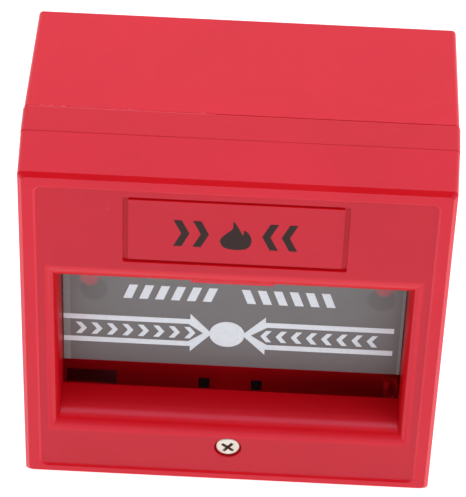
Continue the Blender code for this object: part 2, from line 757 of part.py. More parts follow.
def make_switch_screws():
    profile = [(0, 0), (1.8, 0), (1.8, 0.9), (1.4, 1.3), (0, 1.3)]
    head_low = SWITCH_HIGH + GAP
    slot_depth = (SWITCH_SCREW_DEPTH - 0.25, SWITCH_SCREW_DEPTH + 0.25)
    for x, (_, name) in zip(SWITCH_SCREWS_X, SIDES):
        place = (x, SWITCH_SCREW_DEPTH, head_low)
        screw = turned(f"switch_screw_{name}", profile, place, UP, "zinc_steel", 16)
        foot = (x, SWITCH_SCREW_DEPTH, SWITCH_LOW - 2.6)
        fuse(screw, rod(f"switch_shank_{name}", 0.9, foot, UP, 9.6, sides=16))
        slot_tall = (head_low + 0.8, head_low + 2.7)
        cut(screw, block(f"cut_switch_slot_{name}", (x - 2, x + 2), slot_depth, slot_tall))


def make_switch_terminals():
    depth = (SWITCH_REAR + GAP, SWITCH_REAR + 4.5)
    tall = (SWITCH_Z - 0.9, SWITCH_Z - 0.4)
    for x, name in zip(TERMINALS_X, ("common", "closed", "open")):
        blade = block(f"switch_terminal_{name}", (x - 1.5, x + 1.5), depth, tall, "brass")
        cut(blade, rod(f"cut_terminal_{name}", 0.65, (x, SWITCH_REAR + 2.9, SWITCH_Z - 2), UP, 3, sides=12))


def ear_outline():
    """A lever ear in (x, depth): from the arm forward to the roller's pin, with a round end."""
    reach = 1.3
    round_end = []
    for degrees in range(-165, 36, 25):
        angle = math.radians(degrees)
        round_end.append((ROLLER_X + reach * math.cos(angle), ROLLER_DEPTH + reach * math.sin(angle)))
    foot = [(ROLLER_X - 1.6, LEVER_REAR), (ROLLER_X - 5.0, LEVER_REAR), (ROLLER_X - 5.0, LEVER_REAR - 0.7)]
    return foot + round_end


def make_lever():
    """A folded strip: an arm across the plunger, two ears at the roller and two at the pivot."""
    across = (PIVOT_X + 1.5, ROLLER_X - 1.8)
    strip = (LEVER_FRONT, LEVER_REAR)
    arm = block("switch_lever", across, strip, (SWITCH_Z - LEVER_HALF, SWITCH_Z + LEVER_HALF), "zinc_steel")
    for side, name in ((-1, "low"), (1, "high")):
        layer = sorted((SWITCH_Z + side * 1.7, SWITCH_Z + side * LEVER_HALF))
        pivot_place = (PIVOT_X, PIVOT_DEPTH, layer[0])
        fuse(
            arm,
            prism(f"roller_ear_{name}", ear_outline(), layer, "z"),
            rod(f"pivot_ear_{name}", 1.3, pivot_place, UP, layer[1] - layer[0], sides=16),
            block(f"pivot_neck_{name}", (PIVOT_X, PIVOT_X + 3), (LEVER_FRONT, 20.9), layer),
        )
    cut(
        arm,
        rod("cut_lever_pivot", 0.8, (PIVOT_X, PIVOT_DEPTH, SWITCH_Z - 4), UP, 8, sides=16),
        rod("cut_lever_roller", 0.75, (ROLLER_X, ROLLER_DEPTH, SWITCH_Z - 4), UP, 8, sides=16),
    )
    roller_pin = lever_pin("roller_pin", ROLLER_X, ROLLER_DEPTH)
    carry(axis_at("lever_axis", (PIVOT_X, PIVOT_DEPTH, SWITCH_Z)), arm, roller_pin)
    lever_pin("lever_pin", PIVOT_X, PIVOT_DEPTH)
    roller_place = (ROLLER_X, ROLLER_DEPTH, SWITCH_Z - 1.4)
    tube("switch_roller", ROLLER_RADIUS, 0.8, roller_place, UP, 2.8, "white_plastic")


def lever_pin(name, x, depth):
    return rod(name, PIN_RADIUS, (x, depth, SWITCH_Z - 2.6), UP, 5.2, "zinc_steel", 16)


def make_plunger():
    profile = [(0, 0), (0.5, 0.05), (0.9, 0.4), (0.9, 5.0), (0, 5.0)]
    turned("switch_plunger", profile, (PLUNGER_X, 20.25, SWITCH_Z), BACK, "white_plastic", 16)


# ---------------------------------------------------------------- terminal block and leads


def make_terminal_block():
    body = block(
        "terminal_block",
        (-BLOCK_HALF, BLOCK_HALF),
        (BLOCK_FRONT, BLOCK_REAR),
        (BLOCK_LOW, BLOCK_HIGH),
        "black_plastic",
    )
    for index, x in enumerate(LUG_HOLES):
        fuse(body, lug_block(f"snap_lug_{index}", x, (LUG_FRONT, BLOCK_FRONT + 0.5), GAP))
    for index, x in enumerate(POLES_X):
        chamber = ((x - 2.1, x + 2.1), (20.4, 25.2), (CLAMP_Z - 2.5, CLAMP_Z + 2.5))
        cut(
            body,
            block(f"cut_chamber_{index}", *chamber),
            rod(f"cut_shaft_{index}", 2.0, (x, 24, CLAMP_Z), BACK, 6, sides=20),
            rod(f"cut_wire_entry_{index}", 1.4, (x, WIRE_DEPTH, BLOCK_LOW - 1), UP, 4, sides=16),
            rod(f"cut_lead_hole_{index}", 0.95, (x, WIRE_DEPTH, CLAMP_Z), UP, 6, sides=16),
        )


def make_terminal_parts():
    """Each pole's brass cage and the screw that closes it."""
    profile = [(0, 0), (1.5, 0), (1.7, 0.2), (1.7, 1.6), (1.2, 1.6), (1.2, 4.0), (0, 4.0)]
    for number, x in enumerate(POLES_X, 1):
        tall = (CLAMP_Z - 2.2, CLAMP_Z + 2.2)
        cage = block(f"terminal_clamp_{number}", (x - 1.8, x + 1.8), (20.7, 24.9), tall, "brass")
        cut(
            cage,
            rod(f"cut_clamp_way_{number}", 1.2, (x, WIRE_DEPTH, CLAMP_Z - 3), UP, 6, sides=16),
            rod(f"cut_clamp_thread_{number}", 1.5, (x, WIRE_DEPTH, CLAMP_Z), BACK, 3, sides=16),
        )
        top = (x, CLAMP_SCREW_TOP, CLAMP_Z)
        screw = turned(f"terminal_screw_{number}", profile, top, FRONT, "zinc_steel", 20)
        slot_depth = (CLAMP_SCREW_TOP - 0.7, CLAMP_SCREW_TOP + 0.7)
        slot_tall = (CLAMP_Z - 0.3, CLAMP_Z + 0.3)
        cut(screw, block(f"cut_driver_slot_{number}", (x - 2, x + 2), slot_depth, slot_tall))


def smooth_route(knots, per_span=7):
    """Places along a Catmull-Rom curve through the knots."""
    padded = [knots[0], *knots, knots[-1]]
    places = []
    for i in range(1, len(padded) - 2):
        before, start, end, after = (Vector(k) for k in padded[i - 1 : i + 3])
        for step in range(per_span):
            t = step / per_span
            bend = (2 * before - 5 * start + 4 * end - after) * t * t
            twist = (3 * start - before - 3 * end + after) * t * t * t
            places.append((2 * start + (end - before) * t + bend + twist) / 2)
    return places + [Vector(knots[-1])]


# Each lead's colour, its ends' places along X, and the places it passes between them
LEADS = {
    "lead_common": (
        "red_wire",
        (TERMINALS_X[0], POLES_X[0]),
        ((-16.0, 39.2, -11.0), (-14.6, 40.0, -15.0), (-11.0, 36.0, -19.3), (-7.6, 28.5, -20.6)),
    ),
    "lead_open": (
        "black_wire",
        (TERMINALS_X[2], POLES_X[1]),
        ((0.8, 39.2, -11.0), (1.2, 40.0, -15.0), (1.2, 36.0, -19.3), (0.5, 28.5, -20.6)),
    ),
    "lead_closed": (
        "blue_wire",
        (TERMINALS_X[1], POLES_X[2]),
        ((-7.6, 39.6, -10.6), (-5.5, 42.2, -14.6), (3.2, 40.2, -17.6), (7.4, 30.0, -19.6)),
    ),
}


def make_leads():
    """Insulated leads from the switch's terminals down into the terminal block."""
    for name, (finish, (start_x, end_x), middle) in LEADS.items():
        start = (start_x, SWITCH_REAR + 4.5 + GAP, SWITCH_Z - 0.65)
        above = (end_x, WIRE_DEPTH + 0.6, BLOCK_HIGH + 1.8)
        inside = (end_x, WIRE_DEPTH, BLOCK_HIGH - 0.6)
        end = (end_x, WIRE_DEPTH, CLAMP_Z + 1)
        spline_curve(name, smooth_route([start, *middle, above, inside, end]), LEAD_RADIUS, finish)


# ---------------------------------------------------------------- assembly


def main():
    clear_scene()
    make_back_box()
    make_grommet()
    make_box_inserts()
    make_chassis()
    make_chassis_screws()
    cover = make_front_cover()
    screw, washer = make_cover_screw()
    carry(axis_at("cover_axis", COVER_AXIS), cover, screw, washer)
    make_pane()
    make_return_spring()
    make_switch_case()
    make_switch_screws()
    make_switch_terminals()
    make_lever()
    make_plunger()
    make_terminal_block()
    make_terminal_parts()
    make_leads()


main()
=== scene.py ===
"""Looks of the manual call point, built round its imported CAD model.

Lengths in the shape functions are millimetres. Depth is measured back from the front plane, and the
frame's origin is the centre of the wall face, so a depth becomes a place along Y as point() says.
"""

import json
import math
import random

import bmesh
import bpy
from mathutils import Matrix, Vector
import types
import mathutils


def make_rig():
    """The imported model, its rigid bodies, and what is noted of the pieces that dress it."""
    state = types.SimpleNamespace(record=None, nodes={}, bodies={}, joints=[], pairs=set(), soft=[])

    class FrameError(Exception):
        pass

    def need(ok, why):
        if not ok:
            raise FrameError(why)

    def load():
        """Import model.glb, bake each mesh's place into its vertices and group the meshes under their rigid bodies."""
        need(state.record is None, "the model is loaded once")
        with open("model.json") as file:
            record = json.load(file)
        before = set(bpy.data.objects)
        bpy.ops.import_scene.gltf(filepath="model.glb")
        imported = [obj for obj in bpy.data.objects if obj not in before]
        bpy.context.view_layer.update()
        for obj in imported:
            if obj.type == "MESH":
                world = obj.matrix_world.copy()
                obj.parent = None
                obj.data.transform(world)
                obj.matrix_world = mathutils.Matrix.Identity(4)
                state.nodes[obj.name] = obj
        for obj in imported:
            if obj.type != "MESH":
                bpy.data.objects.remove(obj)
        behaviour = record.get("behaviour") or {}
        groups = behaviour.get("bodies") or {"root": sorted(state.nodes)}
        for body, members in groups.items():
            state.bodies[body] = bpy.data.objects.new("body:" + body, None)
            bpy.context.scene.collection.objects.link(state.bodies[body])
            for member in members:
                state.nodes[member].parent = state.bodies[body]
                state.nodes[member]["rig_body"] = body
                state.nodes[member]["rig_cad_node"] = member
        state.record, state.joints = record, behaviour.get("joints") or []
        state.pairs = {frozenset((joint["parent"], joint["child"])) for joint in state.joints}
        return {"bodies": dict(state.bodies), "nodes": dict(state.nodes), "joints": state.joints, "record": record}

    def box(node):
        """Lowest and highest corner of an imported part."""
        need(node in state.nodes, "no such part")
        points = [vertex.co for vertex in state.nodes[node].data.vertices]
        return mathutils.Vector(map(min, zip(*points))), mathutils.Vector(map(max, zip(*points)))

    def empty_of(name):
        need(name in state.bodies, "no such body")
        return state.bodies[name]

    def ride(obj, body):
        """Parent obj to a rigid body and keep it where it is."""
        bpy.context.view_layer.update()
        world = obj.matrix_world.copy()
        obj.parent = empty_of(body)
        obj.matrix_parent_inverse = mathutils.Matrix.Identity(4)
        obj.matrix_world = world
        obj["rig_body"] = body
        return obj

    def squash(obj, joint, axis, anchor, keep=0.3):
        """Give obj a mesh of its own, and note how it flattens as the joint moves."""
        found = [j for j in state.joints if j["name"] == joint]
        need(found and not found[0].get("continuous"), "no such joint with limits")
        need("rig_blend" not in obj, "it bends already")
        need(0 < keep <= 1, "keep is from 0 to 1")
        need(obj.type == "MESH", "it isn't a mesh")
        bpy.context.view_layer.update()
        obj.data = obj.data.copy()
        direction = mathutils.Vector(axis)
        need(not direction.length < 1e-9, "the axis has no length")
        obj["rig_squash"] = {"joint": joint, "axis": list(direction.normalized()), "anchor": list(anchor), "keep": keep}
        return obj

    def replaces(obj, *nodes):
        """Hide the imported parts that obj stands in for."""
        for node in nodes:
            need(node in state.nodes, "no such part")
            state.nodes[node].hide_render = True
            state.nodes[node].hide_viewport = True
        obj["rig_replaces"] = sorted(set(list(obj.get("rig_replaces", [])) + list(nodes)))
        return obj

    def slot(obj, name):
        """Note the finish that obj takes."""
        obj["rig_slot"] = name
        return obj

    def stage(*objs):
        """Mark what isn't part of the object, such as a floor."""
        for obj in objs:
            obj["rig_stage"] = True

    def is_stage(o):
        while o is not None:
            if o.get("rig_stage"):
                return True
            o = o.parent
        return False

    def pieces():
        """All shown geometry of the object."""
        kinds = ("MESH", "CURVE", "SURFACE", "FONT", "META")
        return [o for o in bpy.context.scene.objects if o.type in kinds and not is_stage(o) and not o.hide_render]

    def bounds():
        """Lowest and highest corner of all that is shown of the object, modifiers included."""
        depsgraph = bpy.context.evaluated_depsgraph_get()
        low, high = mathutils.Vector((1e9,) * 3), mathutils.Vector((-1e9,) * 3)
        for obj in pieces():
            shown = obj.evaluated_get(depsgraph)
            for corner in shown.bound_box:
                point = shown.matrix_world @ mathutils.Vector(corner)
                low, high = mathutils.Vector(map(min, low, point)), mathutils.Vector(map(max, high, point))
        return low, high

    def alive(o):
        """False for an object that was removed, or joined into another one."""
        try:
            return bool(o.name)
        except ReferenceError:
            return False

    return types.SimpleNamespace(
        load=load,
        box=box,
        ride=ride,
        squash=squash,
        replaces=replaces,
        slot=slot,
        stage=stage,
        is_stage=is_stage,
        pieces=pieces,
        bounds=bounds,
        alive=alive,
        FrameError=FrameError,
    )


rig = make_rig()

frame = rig.load()
START_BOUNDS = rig.bounds()

MM = 0.001
DEPTH = (START_BOUNDS[1].y - START_BOUNDS[0].y) / MM
GAP = 0.3
BITE = 0.3  # how far a solid that is fused on reaches into its neighbour
OVER = 1.0  # how far a cutter reaches past the face that it goes through


def point(x, depth, z):
    """A place in the frame, in metres."""
    return Vector((x * MM, (depth - DEPTH) * MM, z * MM))


def spans(node):
    """A CAD node's (x, depth, z) spans in millimetres."""
    low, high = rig.box(node)
    return (
        (low.x / MM, high.x / MM),
        (low.y / MM + DEPTH, high.y / MM + DEPTH),
        (low.z / MM, high.z / MM),
    )


def middle(span):
    return (span[0] + span[1]) / 2


# ---------------------------------------------------------------- sizes from the frame

CHASSIS = spans("chassis")
BOX = spans("back_box")
PANE = spans("break_pane")
FILM = spans("pane_film")
SCREW = spans("cover_screw")
WELL_CENTRE = middle(spans("chassis_screw_right")[0])
SCREW_Z = middle(SCREW[2])
SCREW_TOP = SCREW[1][0]
SCREW_HEAD = (SCREW[0][1] - SCREW[0][0]) / 2
GROMMET = spans("cable_grommet")
ENTRY_Z = middle(GROMMET[2])

# Sizes that the three shells share, as the CAD has them
WALL = 2.0
RIM_HALF = CHASSIS[0][1]
BOX_HALF = BOX[0][1]
BOX_BACK_HALF = BOX_HALF - 0.35
SHELL_HALF = 42.45
COVER_REAR_HALF = BOX_HALF
COVER_REAR = 12.2
RIM_FRONT = COVER_REAR + GAP
RIM_REAR = 19.4
BOX_FRONT = RIM_REAR + GAP
BOX_INNER_BACK = DEPTH - 2.5
COVER_INNER_HALF = SHELL_HALF - WALL
RIM_INNER_HALF = RIM_HALF - 1.9
BOX_INNER_HALF = BOX_BACK_HALF - WALL
EDGE = 0.9
CORNER = 1.0
CHAMFER = 0.85
ROUND = 0.1  # of the shells' edges

# Front cover
PANEL = 0.4
PANEL_SLOPE = 0.45
PANEL_SIDE = 39.5
PANEL_TOP = 39.4
PANEL_BOTTOM = -40.1
PANEL_CORNER = 1.8
FRAME_SIDE = 22.1
FRAME_TOP = 37.3
FRAME_BOTTOM = 20.0
GROOVE = 1.1
GROOVE_DEPTH = 0.6
WINDOW_SIDE = 35.1
WINDOW_TOP = 12.2
WINDOW_BOTTOM = -25.0
SIDE_FILLET = 2.4
HEADER_FILLET = 6.3
SILL_FILLET = 4.4
TUNNEL_REAR = 10.0
TUNNEL_WALL = 1.8
BACKING = PANEL + 1.0  # where the solids that back the window's rounded walls start
HEADER_BACKING = 6.0
SILL_BACKING = 4.2
SILL_BACKING_SIDE = 0.8
JAMB_BACKING = 3.4
SCREW_BOSS = 3.7
SCREW_BOSS_LENGTH = 4.1
TONGUE_X = (-8.8, 8.0)
TONGUE_LOW = 7.2
TONGUE_THICK = 1.4
COVER_HOOK_X = 22.0
COVER_HOOK_HALF = 4.0
COVER_HOOK_REAR = 15.1

# Chassis
PLATE_FRONT = 15.8
PLATE_REAR = 17.8
LIP_HALF = BOX_INNER_HALF - GAP
LIP_REAR = 21.8
LIP_WALL = 1.2
WELL_TOP = 14.8
WELL_FLOOR = 16.4
WELL_RADIUS = 4.7
WELL_BORE = 3.8
FIXING_BORE = 2.1
HOOK_X = 25.0
HOOK_HALF = 3.0
HOOK_REACH = 1.6
PILLAR_FRONT = 6.7
PILLAR_RADIUS = 3.7
PILLAR_BORE = 2.7
PILLAR_DEPTH = 6.8  # of its bore
CUP_RADIUS = 4.0
CUP_BORE = 2.9
CUP_DEPTH = 5.7
SHELF_X = (-19.0, 4.0)
SHELF_REAR = 33.0
SHELF_THICK = 2.5
POST_X = (32.1, 35.0)
POST_Z = (-29.2, -23.6)
POST_FRONT = 12.9
POST_SLOT_X = (33.1, 34.5)
POST_SLOT_Z = (-28.4, -22.6)
POST_SLOT_DEPTH = (12.0, 14.2)
CORNER_WINDOW_X = (-35.0, -24.3)
CORNER_WINDOW_Z = (-32.6, -26.8)
ROLLER_WINDOW_X = (-4.9, 4.3)
ROLLER_WINDOW_HALF = 3.2
LUG_HOLES = (-5.8, 5.3)
LUG_HOLE_Z = -29.5
LUG_HALF_WIDE = 1.15
LUG_HALF_TALL = 1.7
SPRING_Z = 10.0

# Back box
BOX_BOSS = 4.5
BOX_BORE = 3.1
BOX_RIB_FRONT = 23.5
SLOT_HALF = (2.5, 4.5)
SLOT_ROUND = 1.5
WALL_SLOTS = ((-25, 25, True), (25, 25, False), (-25, -25, False), (25, -25, True))  # x, z, is upright
ENTRY_BORE = 6.0
ENTRY_SINK = 8.2
ENTRY_SINK_DEPTH = 1.3
KNOCKOUT_DEPTH = 35.0
KNOCKOUT_RING = (10.0, 9.1)  # outer and inner radius

# ---------------------------------------------------------------- node material helpers


class Nodes:
    """Builds one material's node tree around a Principled shader."""

    def __init__(self, name):
        self.material = bpy.data.materials.new(name)
        self.material.use_nodes = True
        self.tree = self.material.node_tree
        self.shader = self.tree.nodes["Principled BSDF"]
        coordinates = self.tree.nodes.new("ShaderNodeTexCoord")
        self.place = coordinates.outputs["Object"]

    def add(self, kind, inputs=None, **settings):
        node = self.tree.nodes.new(kind)
        for key, value in settings.items():
            setattr(node, key, value)
        for key, value in (inputs or {}).items():
            self.feed(node.inputs[key], value)
        return node

    def feed(self, socket, value):
        if hasattr(value, "is_output"):
            self.tree.links.new(value, socket)
        else:
            socket.default_value = value

    def set(self, **sockets):
        """Sockets of the shader, by their names with underscores."""
        for key, value in sockets.items():
            self.feed(self.shader.inputs[key.replace("_", " ")], value)

    def noise(self, scale, detail=3.0, roughness=0.5, distortion=0.0, place=None):
        found = {
            "Vector": place or self.place,
            "Scale": scale,
            "Detail": detail,
            "Roughness": roughness,
            "Distortion": distortion,
        }
        return self.add("ShaderNodeTexNoise", found).outputs["Fac"]

    def stretched(self, scale):
        return self.add("ShaderNodeMapping", {"Vector": self.place, "Scale": scale}).outputs["Vector"]

    def ramp(self, value, low, high, to_low=0.0, to_high=1.0):
        found = {"Value": value, "From Min": low, "From Max": high, "To Min": to_low, "To Max": to_high}
        return self.add("ShaderNodeMapRange", found, clamp=True).outputs["Result"]

    def mix(self, share, first, second):
        node = self.add("ShaderNodeMix", data_type="RGBA")
        self.feed(node.inputs["Factor"], share)
        self.feed(node.inputs["A"], first if hasattr(first, "is_output") else (*first, 1.0))
        self.feed(node.inputs["B"], second if hasattr(second, "is_output") else (*second, 1.0))
        return node.outputs["Result"]

    def math(self, operation, *values):
        node = self.add("ShaderNodeMath", operation=operation)
        for socket, value in zip(node.inputs, values):
            self.feed(socket, value)
        return node.outputs["Value"]

    def bump(self, height, distance, strength=1.0, under=None):
        found = {"Height": height, "Distance": distance, "Strength": strength}
        if under is not None:
            found["Normal"] = under
        return self.add("ShaderNodeBump", found).outputs["Normal"]


SHEEN_TINT = (0.72, 0.68, 1.0, 1.0)
DUST_RED = (0.86, 0.20, 0.22)
# Pale red of worn edges and flash, which on the shells' rounded edges also stands in as a painted highlight
WORN_AND_HIGHLIGHT_RED = (0.86, 0.10, 0.12)


def red_abs(name, deep, pale, gloss=0.335, grain_height=0.22, wear_and_highlight=0.0, shine=0.48):
    """Glossy moulded ABS: cloudy flow tone, fine moulding grain, dust and smudges.

    A wear level paints the pale, dull look that handling gives an edge, which on the rounded edges also serves as a
    painted highlight. shine is the strength of the gloss.
    """
    nodes = Nodes(name)
    cloud = nodes.ramp(nodes.noise(38.0, 4.0, 0.55, 0.5), 0.25, 0.75)
    colour = nodes.mix(cloud, deep, pale)
    grain = nodes.noise(900.0, 2.0, 0.5)
    dust = nodes.ramp(nodes.noise(820.0, 0.0), 0.82, 0.92, 0.0, 0.10)
    colour = nodes.mix(dust, colour, DUST_RED)
    smudge = nodes.ramp(nodes.noise(70.0, 3.0, 0.5, 0.6), 0.2, 0.8, gloss - 0.05, gloss + 0.06)
    # Pale worn patches, which on the edge faces also work as a painted highlight
    if wear_and_highlight:
        wear_and_highlight_patches = nodes.ramp(nodes.noise(420.0, 3.0), 0.35, 0.75, wear_and_highlight * 0.4, wear_and_highlight)
        colour = nodes.mix(wear_and_highlight_patches, colour, WORN_AND_HIGHLIGHT_RED)
        smudge = nodes.math("ADD", smudge, nodes.ramp(wear_and_highlight_patches, 0.0, 1.0, 0.0, 0.15))
    soft_waves = nodes.bump(nodes.noise(110.0, 1.0), 0.00005, 0.2)
    nodes.set(
        Base_Color=colour,
        Roughness=smudge,
        IOR=1.52,
        Specular_IOR_Level=shine,
        Specular_Tint=SHEEN_TINT,
        Normal=nodes.bump(grain, 0.000011, grain_height, soft_waves),
    )
    return nodes.material


def metal(name, colour, roughness, dark, grain_scale=(300.0, 300.0, 30.0)):
    """Plated metal with fine drawn grain, dull patches and patches of darker stain."""
    nodes = Nodes(name)
    grain = nodes.noise(40.0, 5.0, 0.7, 0.0, nodes.stretched(grain_scale))
    patch = nodes.noise(600.0, 3.0, 0.6)
    colour_out = nodes.mix(nodes.ramp(patch, 0.35, 0.75, 0.0, 0.6), colour, dark)
    nodes.set(
        Base_Color=colour_out,
        Metallic=1.0,
        Roughness=nodes.ramp(grain, 0.3, 0.7, roughness - 0.06, roughness + 0.12),
        Normal=nodes.bump(grain, 0.00001, 0.5),
    )
    return nodes.material


def plastic(name, colour, other, roughness=0.45, scale=900.0):
    """Satin moulded plastic with a fine spark-eroded grain."""
    nodes = Nodes(name)
    grain = nodes.noise(scale, 3.0, 0.6)
    nodes.set(
        Base_Color=nodes.mix(nodes.ramp(nodes.noise(90.0, 3.0), 0.35, 0.7), colour, other),
        Roughness=nodes.ramp(grain, 0.3, 0.7, roughness - 0.08, roughness + 0.1),
        Normal=nodes.bump(grain, 0.00003, 0.5),
    )
    return nodes.material


def rubber(name):
    nodes = Nodes(name)
    grain = nodes.noise(1500.0, 4.0, 0.7)
    bloom = nodes.ramp(nodes.noise(160.0, 4.0, 0.6, 1.2), 0.5, 0.8, 0.0, 0.5)
    nodes.set(
        Base_Color=nodes.mix(bloom, (0.018, 0.018, 0.019), (0.06, 0.06, 0.058)),
        Roughness=nodes.ramp(grain, 0.3, 0.7, 0.6, 0.85),
        Normal=nodes.bump(grain, 0.00006, 0.6),
    )
    return nodes.material


def clear_sheet(name):
    """Thin clear acrylic. It lets what is behind it through by alpha and keeps its gloss."""
    nodes = Nodes(name)
    smear = nodes.noise(120.0, 4.0, 0.6, 1.5)
    scratch = nodes.noise(55.0, 6.0, 0.75, 0.0, nodes.stretched((6.0, 1.0, 45.0)))
    smeared = nodes.ramp(smear, 0.35, 0.75, 0.06, 0.16)
    scratched = nodes.ramp(scratch, 0.62, 0.75, 0.0, 0.12)
    nodes.set(
        Base_Color=nodes.mix(nodes.ramp(smear, 0.3, 0.8), (0.50, 0.53, 0.52), (0.60, 0.62, 0.61)),
        Roughness=nodes.math("ADD", smeared, scratched),
        IOR=1.9,
        Alpha=0.16,
    )
    return nodes.material


# Where the chassis's screw wells stand close behind the film, in (x, z): a painted shadow disc and a painted red glow
FILM_PAINTED_SHADOWS_AND_GLOWS = (((-28.6, 1.9), (-29.5, 5.4)), ((30.0, 2.6), (30.4, 6.2)))
FILM_SHADOW_DISC_SIZE = (2.8, 3.2)
FILM_SHADOW_DISC_TONE = (0.100, 0.097, 0.099)
FILM_PAINTED_GLOW_SIZE = (1.9, 2.6)
FILM_PAINTED_GLOW_TONE = (0.46, 0.085, 0.105)


def grey_film(name, top, bottom, z_span):
    """Translucent grey film of mottled printed ink, darker and redder low down, with painted shadow discs and painted
    red glows.
    """
    nodes = Nodes(name)
    place = nodes.add("ShaderNodeSeparateXYZ", {"Vector": nodes.place})

    def blot(centre, size, softness):
        """1 inside an ellipse on the film, fading to 0 over its rim."""
        terms = []
        for axis, middle, reach in zip("XZ", centre, size):
            offset = nodes.math("SUBTRACT", place.outputs[axis], middle * MM)
            terms.append(nodes.math("POWER", nodes.math("DIVIDE", offset, reach * MM), 2.0))
        return nodes.ramp(nodes.math("ADD", *terms), 1.0 + softness, 1.0 - softness)

    share = nodes.ramp(place.outputs["Z"], z_span[0] * MM, 5 * MM)
    tone = nodes.mix(share, bottom, top)
    mottle = nodes.ramp(nodes.noise(210.0, 4.0, 0.6, 0.5), 0.3, 0.75, 0.0, 0.16)
    tone = nodes.mix(mottle, tone, tuple(c * 0.85 for c in bottom))
    # Painted shade and painted light: a dark shadow disc and a red glow for each screw well behind the film
    for disc, painted_glow_centre in FILM_PAINTED_SHADOWS_AND_GLOWS:
        dull = nodes.math("MULTIPLY", blot(disc, FILM_SHADOW_DISC_SIZE, 0.25), 0.60)
        tone = nodes.mix(dull, tone, FILM_SHADOW_DISC_TONE)
        painted_glow_share = nodes.math("MULTIPLY", blot(painted_glow_centre, FILM_PAINTED_GLOW_SIZE, 0.35), 0.75)
        tone = nodes.mix(painted_glow_share, tone, FILM_PAINTED_GLOW_TONE)
    dots = nodes.noise(2400.0, 1.0)
    nodes.set(
        Base_Color=tone,
        Roughness=nodes.ramp(nodes.noise(300.0, 3.0), 0.3, 0.7, 0.36, 0.48),
        Alpha=0.97,
        Normal=nodes.bump(dots, 0.00001, 0.3),
    )
    return nodes.material


def ink(name, colour, other, roughness=0.45, shine=0.5):
    """A printed ink layer: slightly uneven cover, with tiny pinholes."""
    nodes = Nodes(name)
    cover = nodes.noise(900.0, 4.0, 0.65, 0.4)
    pinholes = nodes.ramp(nodes.noise(3800.0, 1.0), 0.70, 0.78, 0.0, 0.5)
    colour_out = nodes.mix(nodes.ramp(cover, 0.35, 0.75), colour, other)
    nodes.set(
        Base_Color=nodes.mix(pinholes, colour_out, tuple(c * 0.6 for c in other)),
        Roughness=nodes.ramp(cover, 0.3, 0.7, roughness - 0.08, roughness + 0.1),
        Specular_IOR_Level=shine,
        Normal=nodes.bump(cover, 0.00001, 0.5),
    )
    return nodes.material


FLOOR_GLOW = 0.95


def floor_material():
    nodes = Nodes("floor_paper")
    fibre = nodes.noise(900.0, 4.0, 0.6)
    nodes.set(
        Base_Color=nodes.mix(nodes.ramp(fibre, 0.3, 0.7), (0.60, 0.60, 0.60), (0.63, 0.63, 0.63)),
        Roughness=0.9,
        Normal=nodes.bump(fibre, 0.0001, 0.1),
        Emission_Color=(1.0, 1.0, 1.0, 1.0),
        Emission_Strength=FLOOR_GLOW,
    )
    return nodes.material


RED_DEEP = (0.68, 0.0032, 0.0095)
RED_PALE = (0.74, 0.0042, 0.0130)
# Darker copies of the red, painted as shade: the panel, the window's walls, the faces that look to the front, the
# groove and the top chamfer
PANEL_SHADED_DEEP = (0.52, 0.0027, 0.0072)
PANEL_SHADED_PALE = (0.58, 0.0035, 0.0102)
WINDOW_SHADED_DEEP = (0.48, 0.0024, 0.0065)
WINDOW_SHADED_PALE = (0.54, 0.0031, 0.0088)
FRONT_SHADED_DEEP = (0.62, 0.0030, 0.0086)
FRONT_SHADED_PALE = (0.67, 0.0038, 0.0116)
GROOVE_SHADED_DEEP = (0.50, 0.0026, 0.0070)
GROOVE_SHADED_PALE = (0.56, 0.0033, 0.0095)
CHAMFER_SHADED_DEEP = (0.64, 0.0026, 0.0072)
CHAMFER_SHADED_PALE = (0.69, 0.0034, 0.0098)
CHASSIS_DEEP = (0.66, 0.0033, 0.0090)
CHASSIS_PALE = (0.73, 0.0043, 0.0125)
BOX_DEEP = (0.72, 0.0036, 0.0100)
BOX_PALE = (0.80, 0.0048, 0.0145)
